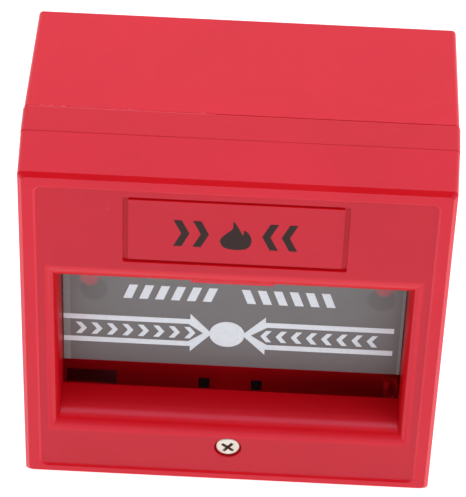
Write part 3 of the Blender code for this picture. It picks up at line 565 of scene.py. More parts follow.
MATERIALS = {
    "cover": red_abs("cover_abs", RED_DEEP, RED_PALE),
    # The edge finishes carry pale wear that also serves as a painted highlight along the rounded edges
    "cover_edge": red_abs("cover_edge_abs", RED_DEEP, RED_PALE, wear_and_highlight=0.10),
    # Painted shade: the panel, window, front, groove and chamfer finishes are the red made darker; the panel's coarser
    # grain is its own
    "panel": red_abs("panel_painted_shade_abs", PANEL_SHADED_DEEP, PANEL_SHADED_PALE, 0.34, 0.6, shine=0.33),
    "window": red_abs("window_painted_shade_abs", WINDOW_SHADED_DEEP, WINDOW_SHADED_PALE, 0.38, 0.3, shine=0.08),
    "front": red_abs("front_painted_shade_abs", FRONT_SHADED_DEEP, FRONT_SHADED_PALE, shine=0.34),
    "groove": red_abs("groove_painted_shade_abs", GROOVE_SHADED_DEEP, GROOVE_SHADED_PALE, 0.38, 0.3, shine=0.25),
    "chamfer": red_abs("chamfer_painted_shade_abs", CHAMFER_SHADED_DEEP, CHAMFER_SHADED_PALE, 0.36, shine=0.20),
    "flash": red_abs("flash_abs", RED_DEEP, RED_PALE, wear_and_highlight=0.75),
    "chassis": red_abs("chassis_abs", CHASSIS_DEEP, CHASSIS_PALE),
    "chassis_edge": red_abs("chassis_edge_abs", CHASSIS_DEEP, CHASSIS_PALE, wear_and_highlight=0.10),
    "box": red_abs("box_abs", BOX_DEEP, BOX_PALE),
    "box_edge": red_abs("box_edge_abs", BOX_DEEP, BOX_PALE, wear_and_highlight=0.12),
    "zinc": metal("zinc_plate", (0.68, 0.66, 0.59), 0.30, (0.44, 0.40, 0.33)),
    # Painted shade: the darker, browner zinc inside the cover screw's cross recess
    "recess": metal("recess_shade_zinc", (0.40, 0.31, 0.24), 0.40, (0.17, 0.12, 0.09)),
    "steel": metal("spring_steel", (0.62, 0.61, 0.59), 0.22, (0.40, 0.38, 0.35)),
    "brass": metal("turned_brass", (0.74, 0.50, 0.20), 0.28, (0.42, 0.26, 0.09)),
    "black": plastic("black_nylon", (0.014, 0.014, 0.015), (0.024, 0.024, 0.025)),
    "white": plastic("white_acetal", (0.70, 0.69, 0.64), (0.76, 0.75, 0.71), 0.32),
    "rubber": rubber("grommet_rubber"),
    "red_wire": plastic("red_pvc", (0.50, 0.012, 0.012), (0.58, 0.02, 0.02), 0.38),
    "black_wire": plastic("black_pvc", (0.012, 0.012, 0.012), (0.02, 0.02, 0.02), 0.38),
    "blue_wire": plastic("blue_pvc", (0.015, 0.06, 0.36), (0.02, 0.09, 0.45), 0.38),
    "clear": clear_sheet("clear_acrylic"),
    "film": grey_film("grey_print_film", (0.160, 0.162, 0.162), (0.138, 0.128, 0.132), FILM[2]),
    "white_ink": ink("white_ink", (0.75, 0.82, 0.88), (0.69, 0.75, 0.81)),
    "pale_ink": ink("pale_grey_ink", (0.235, 0.235, 0.232), (0.205, 0.205, 0.200)),
    "dark_ink": ink("dark_grey_ink", (0.022, 0.009, 0.008), (0.032, 0.014, 0.012), 0.6, 0.22),
}

# ---------------------------------------------------------------- shapes


def link(name, data, material=None):
    """A new object in the scene, from its mesh, curve, camera or lamp."""
    piece = bpy.data.objects.new(name, data)
    bpy.context.scene.collection.objects.link(piece)
    if material:
        data.materials.append(MATERIALS[material])
    return piece


def finish_mesh(name, shape):
    bmesh.ops.remove_doubles(shape, verts=shape.verts, dist=1e-7)
    bmesh.ops.recalc_face_normals(shape, faces=shape.faces)
    mesh = bpy.data.meshes.new(name)
    shape.to_mesh(mesh)
    shape.free()
    return mesh


def skin(shape, rows):
    """Walls from each row of corners to the next, and a face that closes each end."""
    for near, far in zip(rows, rows[1:]):
        for i in range(len(near)):
            j = (i + 1) % len(near)
            shape.faces.new((near[i], near[j], far[j], far[i]))
    shape.faces.new(rows[0])
    shape.faces.new(list(reversed(rows[-1])))


def loft(name, rings, material=None):
    """A solid through rings of (x, depth, z) points."""
    shape = bmesh.new()
    skin(shape, [[shape.verts.new(point(*corner)) for corner in ring] for ring in rings])
    return link(name, finish_mesh(name, shape), material)


def prism(name, outline, depth, material=None):
    """A solid from an outline of (x, z) points, the same at both depths."""
    return loft(name, [[(x, level, z) for x, z in outline] for level in depth], material)


def block(name, x, depth, z, material=None):
    return prism(name, [(x[1], z[1]), (x[0], z[1]), (x[0], z[0]), (x[1], z[0])], depth, material)


def rounded(x, z, radius, steps=8):
    corners = ((x[1], z[1], 0), (x[0], z[1], 90), (x[0], z[0], 180), (x[1], z[0], 270))
    outline = []
    for corner_x, corner_z, start in corners:
        centre_x = corner_x - math.copysign(radius, corner_x - (x[0] + x[1]) / 2)
        centre_z = corner_z - math.copysign(radius, corner_z - (z[0] + z[1]) / 2)
        for step in range(steps + 1):
            angle = math.radians(start + 90 * step / steps)
            outline.append((centre_x + radius * math.cos(angle), centre_z + radius * math.sin(angle)))
    return outline


def square_ring(half, depth, radius=CORNER):
    return [(x, depth, z) for x, z in rounded((-half, half), (-half, half), radius)]


def aimed(place, towards):
    """The matrix that carries a shape built along Z to a place, turned the way towards points."""
    turn = Vector(towards).to_track_quat("Z", "Y").to_matrix().to_4x4()
    return Matrix.Translation(point(*place)) @ turn


def turned(name, profile, place, towards, material=None, sides=48):
    """A profile of (radius, height) points spun round an axis from the place, the way towards points."""
    shape = bmesh.new()
    ring = [shape.verts.new((radius * MM, 0.0, height * MM)) for radius, height in profile]
    edges = [shape.edges.new(pair) for pair in zip(ring, ring[1:])]
    if profile[0][0] > 0:
        edges.append(shape.edges.new((ring[-1], ring[0])))
    whole = {"cent": (0, 0, 0), "axis": (0, 0, 1), "angle": math.tau, "use_merge": True}
    bmesh.ops.spin(shape, geom=ring + edges, steps=sides, **whole)
    flatten_ends(shape)
    bmesh.ops.transform(shape, matrix=aimed(place, towards), verts=shape.verts)
    return link(name, finish_mesh(name, shape), material)


def flatten_ends(shape):
    """Makes one face of each flat end that a spin has left as a fan of triangles."""
    bmesh.ops.remove_doubles(shape, verts=shape.verts, dist=1e-7)
    shape.normal_update()
    for vert in list(shape.verts):
        if vert.co.xy.length < 1e-7 and all(abs(face.normal.z) > 0.9999 for face in vert.link_faces):
            bmesh.ops.dissolve_verts(shape, verts=[vert])


BACK = (0, 1, 0)
FRONT = (0, -1, 0)
UP = (0, 0, 1)


def rod(name, radius, place, towards, length, sides=48):
    profile = [(0, 0), (radius, 0), (radius, length), (0, length)]
    return turned(name, profile, place, towards, sides=sides)


def tube(name, outer, inner, place, towards, length, sides=48):
    profile = [(inner, 0), (outer, 0), (outer, length), (inner, length)]
    return turned(name, profile, place, towards, sides=sides)


def boolean(piece, operation, tools):
    for tool in tools:
        step = piece.modifiers.new(operation.lower(), "BOOLEAN")
        step.operation = operation
        step.object = tool
    return piece


def cut(piece, *tools):
    return boolean(piece, "DIFFERENCE", tools)


def fuse(piece, *tools):
    return boolean(piece, "UNION", tools)


def tools_of(piece):
    return [step.object for step in piece.modifiers if step.type == "BOOLEAN"]


def baked(piece):
    """The mesh that a piece comes to, with its modifiers or its curve's thickness worked out."""
    bpy.context.view_layer.update()
    graph = bpy.context.evaluated_depsgraph_get()
    return bpy.data.meshes.new_from_object(piece.evaluated_get(graph))


def settle(piece):
    """Applies the piece's modifiers and removes the tools that shaped it, and theirs."""
    made = baked(piece)
    tools = tools_of(piece)
    while tools:
        tool = tools.pop()
        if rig.alive(tool):
            tools += tools_of(tool)
            bpy.data.objects.remove(tool)
    piece.modifiers.clear()
    piece.data = made
    return piece


def merge_flat_faces(piece):
    """Makes one face of what the cuts have left in one plane, so that the edges round evenly."""
    shape = bmesh.new()
    shape.from_mesh(piece.data)
    everything = {"verts": shape.verts, "edges": shape.edges, "delimit": {"MATERIAL"}}
    bmesh.ops.dissolve_limit(shape, angle_limit=math.radians(0.05), **everything)
    bmesh.ops.remove_doubles(shape, verts=shape.verts, dist=2e-6)
    shape.to_mesh(piece.data)
    shape.free()


def soften(piece, width, angle=28.0, edge=None):
    """Rounds the piece's edges, in the edge material, and keeps its flat faces flat in the shading."""
    settle(piece)
    if edge:
        piece.data.materials.append(MATERIALS[edge])
    merge_flat_faces(piece)
    bevel = piece.modifiers.new("bevel", "BEVEL")
    bevel.width = width * MM
    bevel.segments = 2
    bevel.limit_method = "ANGLE"
    bevel.angle_limit = math.radians(angle)
    bevel.use_clamp_overlap = True
    bevel.miter_outer = "MITER_ARC"
    bevel.material = 1 if edge else -1
    settle(piece)
    piece.data.shade_smooth()
    piece.data.set_sharp_from_angle(angle=math.radians(40))
    weighted = piece.modifiers.new("weighted", "WEIGHTED_NORMAL")
    weighted.keep_sharp = True
    weighted.weight = 100


# ---------------------------------------------------------------- front cover


def fillet(depth, radius):
    """How far a convex round of this radius has drawn back from its wall, at a depth."""
    below = min(max(depth - PANEL, 0.0), radius)
    return radius - math.sqrt(radius**2 - (radius - below) ** 2)


def window_cutter():
    levels = {PANEL + HEADER_FILLET * (1 - math.cos(math.radians(a))) for a in range(0, 91, 5)}
    levels |= {PANEL + SIDE_FILLET * (1 - math.cos(math.radians(a))) for a in range(0, 91, 15)}
    rings = []
    for level in [-OVER, *sorted(levels), TUNNEL_REAR + OVER]:
        side = WINDOW_SIDE + fillet(level, SIDE_FILLET)
        top = WINDOW_TOP + fillet(level, HEADER_FILLET)
        bottom = WINDOW_BOTTOM - fillet(level, SILL_FILLET)
        corners = ((side, top), (-side, top), (-side, bottom), (side, bottom))
        rings.append([(x, level, z) for x, z in corners])
    return loft("cut_window", rings)


def panel_cutter():
    grown = PANEL_SLOPE / PANEL
    rings = []
    for level in (-0.4, PANEL):
        out = (PANEL - level) * grown - PANEL_SLOPE
        x = (-PANEL_SIDE - out, PANEL_SIDE + out)
        z = (PANEL_BOTTOM - out, PANEL_TOP + out)
        rings.append([(a, level, b) for a, b in rounded(x, z, PANEL_CORNER + out)])
    return loft("cut_panel", rings)


def frame_cutter():
    levels = (PANEL - 1, PANEL + GROOVE_DEPTH)
    outer = rounded((-FRAME_SIDE, FRAME_SIDE), (FRAME_BOTTOM, FRAME_TOP), 0.4, 4)
    side, low, high = FRAME_SIDE - GROOVE, FRAME_BOTTOM + GROOVE * 0.8, FRAME_TOP - GROOVE * 0.6
    inner = rounded((-side, side), (low, high), 0.3, 4)
    ring = prism("cut_frame", outer, levels)
    field = prism("keep_field", inner, (levels[0] - 1, levels[1] + 1))
    return settle(cut(ring, field))


def front_edge_rings():
    """The cover's outside: a chamfer round the front, then walls that widen slightly to the rear."""
    return [
        square_ring(SHELL_HALF - CHAMFER, 0.0),
        square_ring(SHELL_HALF, CHAMFER),
        square_ring(COVER_REAR_HALF, COVER_REAR),
    ]


def make_cover():
    cover = loft("cover_shell", front_edge_rings(), "cover")
    hollow = [
        square_ring(COVER_INNER_HALF, PANEL + WALL),
        square_ring(COVER_INNER_HALF + 0.3, COVER_REAR + OVER),
    ]
    side = WINDOW_SIDE + TUNNEL_WALL
    low, high = WINDOW_BOTTOM - TUNNEL_WALL, WINDOW_TOP + TUNNEL_WALL
    sill, jamb, above = side + SILL_BACKING_SIDE, side + TUNNEL_WALL, high + HEADER_BACKING
    cut(cover, loft("cut_hollow", hollow))
    fuse(
        cover,
        block("tunnel", (-side, side), (BACKING, TUNNEL_REAR), (low, high)),
        block("header", (-side, side), (BACKING, PANEL + HEADER_FILLET), (high - 1, above)),
        block("sill", (-sill, sill), (BACKING, PANEL + SILL_FILLET), (low - SILL_BACKING, low + 1)),
        block("jambs", (-jamb, jamb), (BACKING, PANEL + JAMB_BACKING), (low - 1, above - 1)),
        rod("boss", SCREW_BOSS, (0, BACKING, SCREW_Z), BACK, SCREW_BOSS_LENGTH),
    )
    cut(cover, window_cutter(), panel_cutter(), frame_cutter())
    tongue = (TONGUE_LOW, WINDOW_TOP + 1)
    fuse(cover, block("tongue", TONGUE_X, (TUNNEL_REAR - TONGUE_THICK, TUNNEL_REAR), tongue))
    top, rear = RIM_INNER_HALF - 0.4, COVER_HOOK_REAR
    for x in (-COVER_HOOK_X, COVER_HOOK_X):
        wide = (x - COVER_HOOK_HALF, x + COVER_HOOK_HALF)
        fuse(cover, block("arm", wide, (8.0, rear), (top - 1.6, top)))
        fuse(cover, block("nose", wide, (rear - 1.3, rear), (top - 0.5, top + 0.8)))
    rim, bore = SCREW_HEAD + 0.35, 1.7
    seat = [(0, -0.5), (rim, -0.5), (rim, 0.75), (bore, 2.1), (bore, 6), (0, 6)]
    cut(cover, turned("cut_seat", seat, (0, PANEL, SCREW_Z), BACK))
    soften(cover, ROUND * 0.9, edge="cover_edge")
    paint_cover_shading(cover)
    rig.replaces(cover, "front_cover")
    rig.slot(cover, "red_shell")
    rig.ride(cover, "cover")


def in_window(place):
    """True for a place, in millimetres, on the window's rounded walls."""
    in_height = WINDOW_BOTTOM - SILL_FILLET < place.z < WINDOW_TOP + HEADER_FILLET
    return in_height and abs(place.x) < WINDOW_SIDE + SIDE_FILLET + 0.1


def cover_shaded_copy(place, normal):
    """Which darker copy of the red, painted as shade, a cover face takes, from its centre in millimetres and its
    normal, or None to keep it.
    """
    depth = place.y + DEPTH
    if normal.y < -0.999 and abs(depth - PANEL) < 0.02:
        return "panel"
    if normal.y < -0.999 and abs(depth - PANEL - GROOVE_DEPTH) < 0.02 and place.z > FRAME_BOTTOM:
        return "groove"
    if normal.y < -0.75 and depth < PANEL + SILL_FILLET:
        return "front"
    if normal.z > 0.5 and depth < CHAMFER and place.z > SHELL_HALF - CHAMFER:
        return "chamfer"
    if in_window(place) and (normal.z < -0.3 or (place.x * normal.x < 0 and abs(normal.x) > 0.2)):
        return "window"
    return None


def paint_cover_shading(cover):
    """Paints shade with darker copies of the red on the panel, its groove and margin, the top chamfer and the window's
    walls.
    """
    slots = {}
    for key in ("panel", "groove", "front", "chamfer", "window"):
        slots[key] = len(cover.data.materials)
        cover.data.materials.append(MATERIALS[key])
    for face in cover.data.polygons:
        key = cover_shaded_copy(face.center / MM, face.normal)
        if key:
            face.material_index = slots[key]


# ---------------------------------------------------------------- chassis and back box


def square_pipe(name, half, wall, front, rear):
    """A square tube along the depth, open at both ends."""
    inner = half - wall
    pipe = loft(name, [square_ring(half, front), square_ring(half, rear)])
    bore = loft("cut_pipe", [square_ring(inner, front - OVER), square_ring(inner, rear + OVER)])
    return settle(cut(pipe, bore))


def screw_pillar():
    """The pillar that takes the cover screw, with a sloped relief at its root."""
    length = PLATE_FRONT + BITE - PILLAR_FRONT
    pillar = rod("pillar", PILLAR_RADIUS, (0, PILLAR_FRONT, SCREW_Z), BACK, length)
    slope = [(13.2, -28.5), (PLATE_FRONT, -31.2), (PLATE_FRONT, -28.5)]
    return settle(cut(pillar, loft("cut_root", [[(x, a, b) for a, b in slope] for x in (-4, 4)])))


def make_chassis():
    rim = [
        square_ring(RIM_HALF - 0.3, RIM_FRONT - 0.24),
        square_ring(RIM_HALF - 0.1, RIM_FRONT - 0.02),
        square_ring(RIM_HALF, RIM_REAR - 0.15),
        square_ring(RIM_HALF - 0.1, RIM_REAR),
    ]
    inside = [square_ring(RIM_INNER_HALF, level) for level in (RIM_FRONT - OVER, RIM_REAR + OVER)]
    chassis = cut(loft("chassis_frame", rim, "chassis"), loft("cut_rim", inside))
    half = RIM_INNER_HALF + 0.2
    shelf_top = spans("switch_base")[2][0] - GAP
    fuse(
        chassis,
        block("plate", (-half, half), (PLATE_FRONT, PLATE_REAR), (-half, half)),
        square_pipe("lip", LIP_HALF, LIP_WALL, PLATE_REAR - 0.2, LIP_REAR),
        screw_pillar(),
        rod("cup", CUP_RADIUS, (0, PLATE_REAR - BITE, SPRING_Z), BACK, 5),
        block("shelf", SHELF_X, (PLATE_REAR - BITE, SHELF_REAR), (shelf_top - SHELF_THICK, shelf_top)),
        block("post", POST_X, (POST_FRONT, PLATE_FRONT + BITE), POST_Z),
    )
    for side in (-1, 1):
        add_pane_hook(chassis, side * HOOK_X)
        add_screw_well(chassis, side * WELL_CENTRE)
        hook, play = side * COVER_HOOK_X, COVER_HOOK_HALF + 0.5
        catch_z = (RIM_INNER_HALF - 0.5, RIM_INNER_HALF + 0.8)
        cut(chassis, block("cut_catch", (hook - play, hook + play), (13.0, 15.6), catch_z))
    cut_plate(chassis)
    soften(chassis, ROUND, edge="chassis_edge")
    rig.replaces(chassis, "chassis")
    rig.slot(chassis, "red_shell")
    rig.ride(chassis, "casing")


def add_pane_hook(chassis, x):
    """One of the two hooks that hold the pane's upper edge."""
    wide = (x - HOOK_HALF, x + HOOK_HALF)
    front, top = PANE[1][0] - HOOK_REACH, PANE[2][1]
    fuse(
        chassis,
        block("hook", wide, (front, PLATE_FRONT + BITE), (top + GAP, top + 2.3)),
        block("hook_lip", wide, (front, PANE[1][0] - 0.4), (top - HOOK_REACH, top + 0.8)),
    )


def add_screw_well(chassis, x):
    """The round well in which a chassis screw's head sits."""
    fuse(chassis, rod("well", WELL_RADIUS, (x, WELL_TOP, 0), BACK, PLATE_FRONT + BITE - WELL_TOP))
    cut(
        chassis,
        rod("cut_well", WELL_BORE, (x, WELL_TOP - OVER, 0), BACK, WELL_FLOOR + OVER - WELL_TOP),
        rod("cut_fixing", FIXING_BORE, (x, WELL_TOP, 0), BACK, 5),
    )


def cut_plate(chassis):
    through = (PLATE_FRONT - OVER, PLATE_REAR + OVER)
    roller = spans("switch_roller")
    centre_x, centre_z = middle(roller[0]), middle(roller[2])
    roller_x = (centre_x + ROLLER_WINDOW_X[0], centre_x + ROLLER_WINDOW_X[1])
    roller_z = (centre_z - ROLLER_WINDOW_HALF, centre_z + ROLLER_WINDOW_HALF)
    cut(
        chassis,
        block("cut_roller", roller_x, through, roller_z),
        block("cut_corner", CORNER_WINDOW_X, through, CORNER_WINDOW_Z),
        block("cut_slot", POST_SLOT_X, POST_SLOT_DEPTH, POST_SLOT_Z),
        rod("cut_pillar", PILLAR_BORE, (0, PILLAR_FRONT - OVER, SCREW_Z), BACK, OVER + PILLAR_DEPTH),
        rod("cut_cup", CUP_BORE, (0, PLATE_FRONT - OVER, SPRING_Z), BACK, OVER + CUP_DEPTH),
    )
    lug_z = (LUG_HOLE_Z - LUG_HALF_TALL, LUG_HOLE_Z + LUG_HALF_TALL)
    for x in LUG_HOLES:
        cut(chassis, block("cut_lug", (x - LUG_HALF_WIDE, x + LUG_HALF_WIDE), through, lug_z))
    for node in ("switch_screw_left", "switch_screw_right"):
        x_span, depth_span, z_span = spans(node)
        place = (middle(x_span), middle(depth_span), z_span[0] - 1)
        cut(chassis, rod("cut_shelf", 1.2, place, UP, 5, sides=24))


def box_rings():
    """The box's outside: a slight taper to the back, and a quarter round at the wall."""
    rings = [square_ring(BOX_HALF - 0.15, BOX_FRONT), square_ring(BOX_HALF, BOX_FRONT + 0.15)]
    steps = 6
    for step in range(steps + 1):
        angle = math.radians(90 * step / steps)
        half = BOX_BACK_HALF - EDGE * (1 - math.cos(angle))
        corner = CORNER - 0.4 * CORNER * math.sin(angle)
        rings.append(square_ring(half, DEPTH - EDGE + EDGE * math.sin(angle), corner))
    return rings


def make_box():
    box = loft("box_shell", box_rings(), "box")
    hollow = [
        square_ring(BOX_HALF - WALL, BOX_FRONT - OVER, 1.5),
        square_ring(BOX_INNER_HALF, BOX_INNER_BACK, 1.5),
    ]
    cut(box, loft("cut_hollow", hollow))
    boss_front, boss_rear = PLATE_REAR + GAP, BOX_INNER_BACK + 0.5
    for side in (-1, 1):
        x = side * WELL_CENTRE
        fuse(box, rod("boss", BOX_BOSS, (x, boss_front, 0), BACK, boss_rear - boss_front))
        reach = sorted((side * (WELL_CENTRE + 3), side * (BOX_INNER_HALF + 1)))
        fuse(box, block("rib", reach, (BOX_RIB_FRONT, boss_rear), (-0.8, 0.8)))
        cut(box, rod("cut_boss", BOX_BORE, (x, boss_front - OVER, 0), BACK, 14))
    for x, z, upright in WALL_SLOTS:
        wide, tall = SLOT_HALF if upright else reversed(SLOT_HALF)
        outline = rounded((x - wide, x + wide), (z - tall, z + tall), SLOT_ROUND)
        cut(box, prism("cut_slot", outline, (BOX_INNER_BACK - OVER, DEPTH + OVER)))
    cut(
        box,
        rod("cut_entry", ENTRY_BORE, (0, BOX_INNER_BACK - OVER, ENTRY_Z), BACK, 5),
        rod("cut_sink", ENTRY_SINK, (0, DEPTH - ENTRY_SINK_DEPTH, ENTRY_Z), BACK, 3),
        tube("cut_knockout", *KNOCKOUT_RING, (0, KNOCKOUT_DEPTH, -BOX_HALF - OVER), UP, 2.3, sides=72),
    )
    soften(box, ROUND, edge="box_edge")
    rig.replaces(box, "back_box")
    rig.slot(box, "red_shell")
    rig.ride(box, "casing")


# Moulding flash in the seam between box and chassis
FLASH_LUMPS = (-39.3, -37.3, -35.1, -22.0, -7.6)
FLASH_X = (-42.0, -5.0)
FLASH_STEPS = 200


def make_seam_flash():
    """Uneven flash along the top, with a few taller lumps."""
    rng = random.Random(7)
    shape = bmesh.new()
    top = BOX_HALF + 0.02
    rows = []
    start, end = FLASH_X
    for i in range(FLASH_STEPS + 1):
        x = start + (end - start) * i / FLASH_STEPS
        fade = min(1.0, (end - x) / 14.0)
        lump = max(math.exp(-(((x - centre) / 0.42) ** 2)) for centre in FLASH_LUMPS)
        front = RIM_REAR - 0.06 + 0.05 * rng.random() - 0.15 * lump
        rear = front + 0.14 + 0.20 * fade * rng.random() + 0.45 * lump
        lift = 0.03 * rng.random() * fade + 0.12 * lump
        low = top - 0.5
        corners = ((front, low), (rear, low), (rear, top + lift * 0.5), (front, top + lift))
        rows.append([shape.verts.new(point(x, depth, z)) for depth, z in corners])
    skin(shape, rows)
    flash = link("seam_flash", finish_mesh("seam_flash", shape), "flash")
    flash.data.shade_smooth()
    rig.slot(flash, "red_shell")
    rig.ride(flash, "casing")


# ---------------------------------------------------------------- pane, film and print


def slab(name, span, bevel, material, body, slot_name, *nodes):
    """A sheet with softened edges that takes the place of CAD nodes."""
    piece = block(name, *span, material)
    soften(piece, bevel)
    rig.replaces(piece, *nodes)
    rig.slot(piece, slot_name)
    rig.ride(piece, body)


def make_pane():
    slab("pane_sheet", PANE, 0.15, "clear", "pane", "pane_clear", "break_pane")
    slab("pane_print_film", FILM, 0.03, "film", "pane", "grey_film", "pane_film")


def printed(name, outlines, face_depth, material, body, slot_name, thick=0.04):
    """Ink outlines of (x, z) points standing a hair proud of a face that looks to the front."""
    shape = bmesh.new()
    for outline in outlines:
        levels = (face_depth - thick, face_depth - 0.005)
        skin(shape, [[shape.verts.new(point(x, level, z)) for x, z in outline] for level in levels])
    piece = link(name, finish_mesh(name, shape), material)
    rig.slot(piece, slot_name)
    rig.ride(piece, body)
    return piece


DISC_X = -1.2
DISC_Z = -9.5
DISC_RADIUS = 3.62
LINE_HALF = 0.7
LINE_OFFSET = 3.22  # of each arrow line's centre above or below the disc's centre
BARB_OFFSET = 5.45
TIP_BITE = 0.15  # how far an arrow's tip reaches into the disc
ARROWS = ((-1, FILM[0][0], -8.8), (1, 33.1, 6.7))  # side, tail and head
CHEVRONS = ((1, -32.4, -10.0), (-1, 29.9, 8.0))  # way they point, first and last x
BARS = ((-13.0, 1.3), (11.1, -1.3))  # centre and lean of each row
FILM_BORDERS = ((FILM[0][0], -33.5), (34.3, FILM[0][1]))
SIGN_Z = 28.45
SIGN_TALL = 6.9


def disc_outline(x, z, radius, sides=64):
    return [
        (x + radius * math.cos(math.tau * i / sides), z + radius * math.sin(math.tau * i / sides))
        for i in range(sides)
    ]


def arrow_half(side, up, tail, head, tip):
    """One of the two bent strokes of an arrow that points at the disc."""
    line = LINE_OFFSET * up
    stroke = LINE_HALF * up
    outline = [
        (tail, line + stroke),
        (head, line + stroke),
        (head, BARB_OFFSET * up),
        (tip, 0.42 * up),
        (tip, 0.0),
        (tip + side * 1.45, 0.0),
        (head + side * 0.35, line - stroke),
        (tail, line - stroke),
    ]
    return [(x, DISC_Z + z) for x, z in outline]


def chevron(x, z, height, width, thick, side):
    """A bold chevron whose point looks along side."""
    return [
        (x, z + height / 2),
        (x + side * thick, z + height / 2),
        (x + side * (thick + width), z),
        (x + side * thick, z - height / 2),
        (x, z - height / 2),
        (x + side * width, z),
    ]


def leaning_bar(x, z, height, thick, lean):
    low, high = z - height / 2, z + height / 2
    foot, head = x - lean / 2, x + lean / 2
    return [(foot, low), (foot + thick, low), (head + thick, high), (head, high)]


def pane_marks():
    """Small chevrons inside the arrows, and a row of leaning bars above each arrow."""
    marks = []
    count = 8
    for side, start, end in CHEVRONS:
        for i in range(count):
            x = start + (end - start) * i / (count - 1)
            marks.append(chevron(x, DISC_Z - 0.05, 3.3, 1.15, 1.15, side))
    for centre, lean in BARS:
        for i in range(6):
            marks.append(leaning_bar(centre - 0.85 + (i - 2.5) * 3.25, 1.6, 3.9, 1.75, lean))
    return marks


def make_pane_print():
    face = FILM[1][0]
    disc = disc_outline(DISC_X, DISC_Z, DISC_RADIUS)
    printed("pane_disc", [disc], face, "white_ink", "pane", "grey_film", 0.06)
    strokes = []
    for side, tail, head in ARROWS:
        tip = DISC_X + side * (DISC_RADIUS - TIP_BITE)
        strokes += [arrow_half(side, up, tail, head, tip) for up in (-1, 1)]
    for number, stroke in enumerate(strokes, 1):
        printed(f"pane_arrow_stroke_{number}", [stroke], face, "white_ink", "pane", "grey_film")
    printed("pane_marks", pane_marks(), face, "white_ink", "pane", "grey_film")
    low, high = FILM[2]
    strips = [[(b, high), (a, high), (a, low), (b, low)] for a, b in FILM_BORDERS]
    printed("film_borders", strips, face, "pale_ink", "pane", "grey_film", 0.03)


def flame_outline(x, z, tall):
    """A flame with one high tongue and a lower one at its side, from smooth curves."""
    knots = [(0.00, -0.50), (0.30, -0.44), (0.42, -0.20), (0.36, 0.06), (0.22, 0.20), (0.20, 0.02)]
    knots += [(0.10, 0.22), (-0.06, 0.50), (-0.08, 0.24), (-0.26, 0.04), (-0.40, -0.18), (-0.30, -0.43)]
    outline = []
    count = len(knots)
    for i in range(count):
        a, b, c, d = (Vector(knots[(i + k) % count]) for k in (-1, 0, 1, 2))
        for step in range(6):
            t = step / 6
            curve = (2 * a - 5 * b + 4 * c - d) * t * t + (3 * b - a - 3 * c + d) * t**3
            place = (2 * b + (c - a) * t + curve) / 2
            outline.append((x + place.x * tall, z + place.y * tall))
    return outline


def make_label():
    """The generic alarm sign in the label frame: a flame between pairs of chevrons."""
    marks = [flame_outline(0.0, SIGN_Z, SIGN_TALL + 0.6)]
    for side in (-1, 1):
        for start in (5.2, 9.0):
            marks.append(chevron(side * (start + 1.55), SIGN_Z, SIGN_TALL, -1.55, 1.6, side))
    printed("label_sign", marks, PANEL, "dark_ink", "cover", "black_plastic", 0.03)


# ---------------------------------------------------------------- screws and small parts


CROSS_TURN = 38  # degrees, as the photographed cross stands


def cross_tools(place, towards, reach, deep, wide):
    """The two bars that cut a cross recess. They narrow from above the head to the recess's floor."""
    tools = []
    for turn in (0, 90):
        shape = bmesh.new()
        rings = []
        for height, scale in ((-0.3, 1.12), (deep, 0.40)):
            long_side = reach * scale * MM
            short_side = wide * 0.5 * (0.6 + 0.4 * scale) * MM
            corners = [(a * long_side, b * short_side) for a, b in ((1, 1), (-1, 1), (-1, -1), (1, -1))]
            rings.append([shape.verts.new((x, y, height * MM)) for x, y in corners])
        skin(shape, rings)
        spin = Matrix.Rotation(math.radians(CROSS_TURN + turn), 4, "Z")
        bmesh.ops.transform(shape, matrix=aimed(place, towards) @ spin, verts=shape.verts)
        tools.append(link("cut_cross", finish_mesh("cut_cross", shape)))
    return tools


def thread_profile(radius, start, end, pitch, crest):
    """Rings that stand for a machine thread: a crest and a root for each pitch."""
    profile = []
    height = start
    while height + pitch < end:
        profile += [(radius - crest, height), (radius, height + pitch / 2)]
        height += pitch
    return profile + [(radius - crest, end)]


def paint_recess_shade(screw, place, radius):
    """Paints shade on the walls and floor of a screw's cross recess with a darker, browner zinc."""
    screw.data.materials.append(MATERIALS["recess"])
    last = len(screw.data.materials) - 1
    centre = point(*place)
    for face in screw.data.polygons:
        offset = face.center - centre
        near_axis = math.hypot(offset.x, offset.z) < radius * MM
        if near_axis and 0.12 * MM < offset.y < 1.3 * MM and abs(face.normal.y) < 0.98:
            face.material_index = last


def make_cover_screw():
    shank, rim = 1.4, SCREW_HEAD
    profile = [(0, 0.02), (1.0, 0.0), (1.9, 0.05), (rim - 0.12, 0.16), (rim, 0.28), (rim - 0.04, 0.4)]
    profile += [(shank, 1.5)] + thread_profile(shank, 1.8, 9.8, 0.5, 0.22) + [(0.8, 10.38), (0, 10.38)]
    screw = turned("cover_screw_fine", profile, (0, SCREW_TOP, SCREW_Z), BACK, "zinc")
    cut(screw, *cross_tools((0, SCREW_TOP, SCREW_Z), BACK, 1.60, 1.25, 0.72))
    soften(screw, 0.04, 35)
    paint_recess_shade(screw, (0, SCREW_TOP, SCREW_Z), 1.75)
    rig.replaces(screw, "cover_screw")
    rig.slot(screw, "zinc_steel")
    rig.ride(screw, "cover_screw")


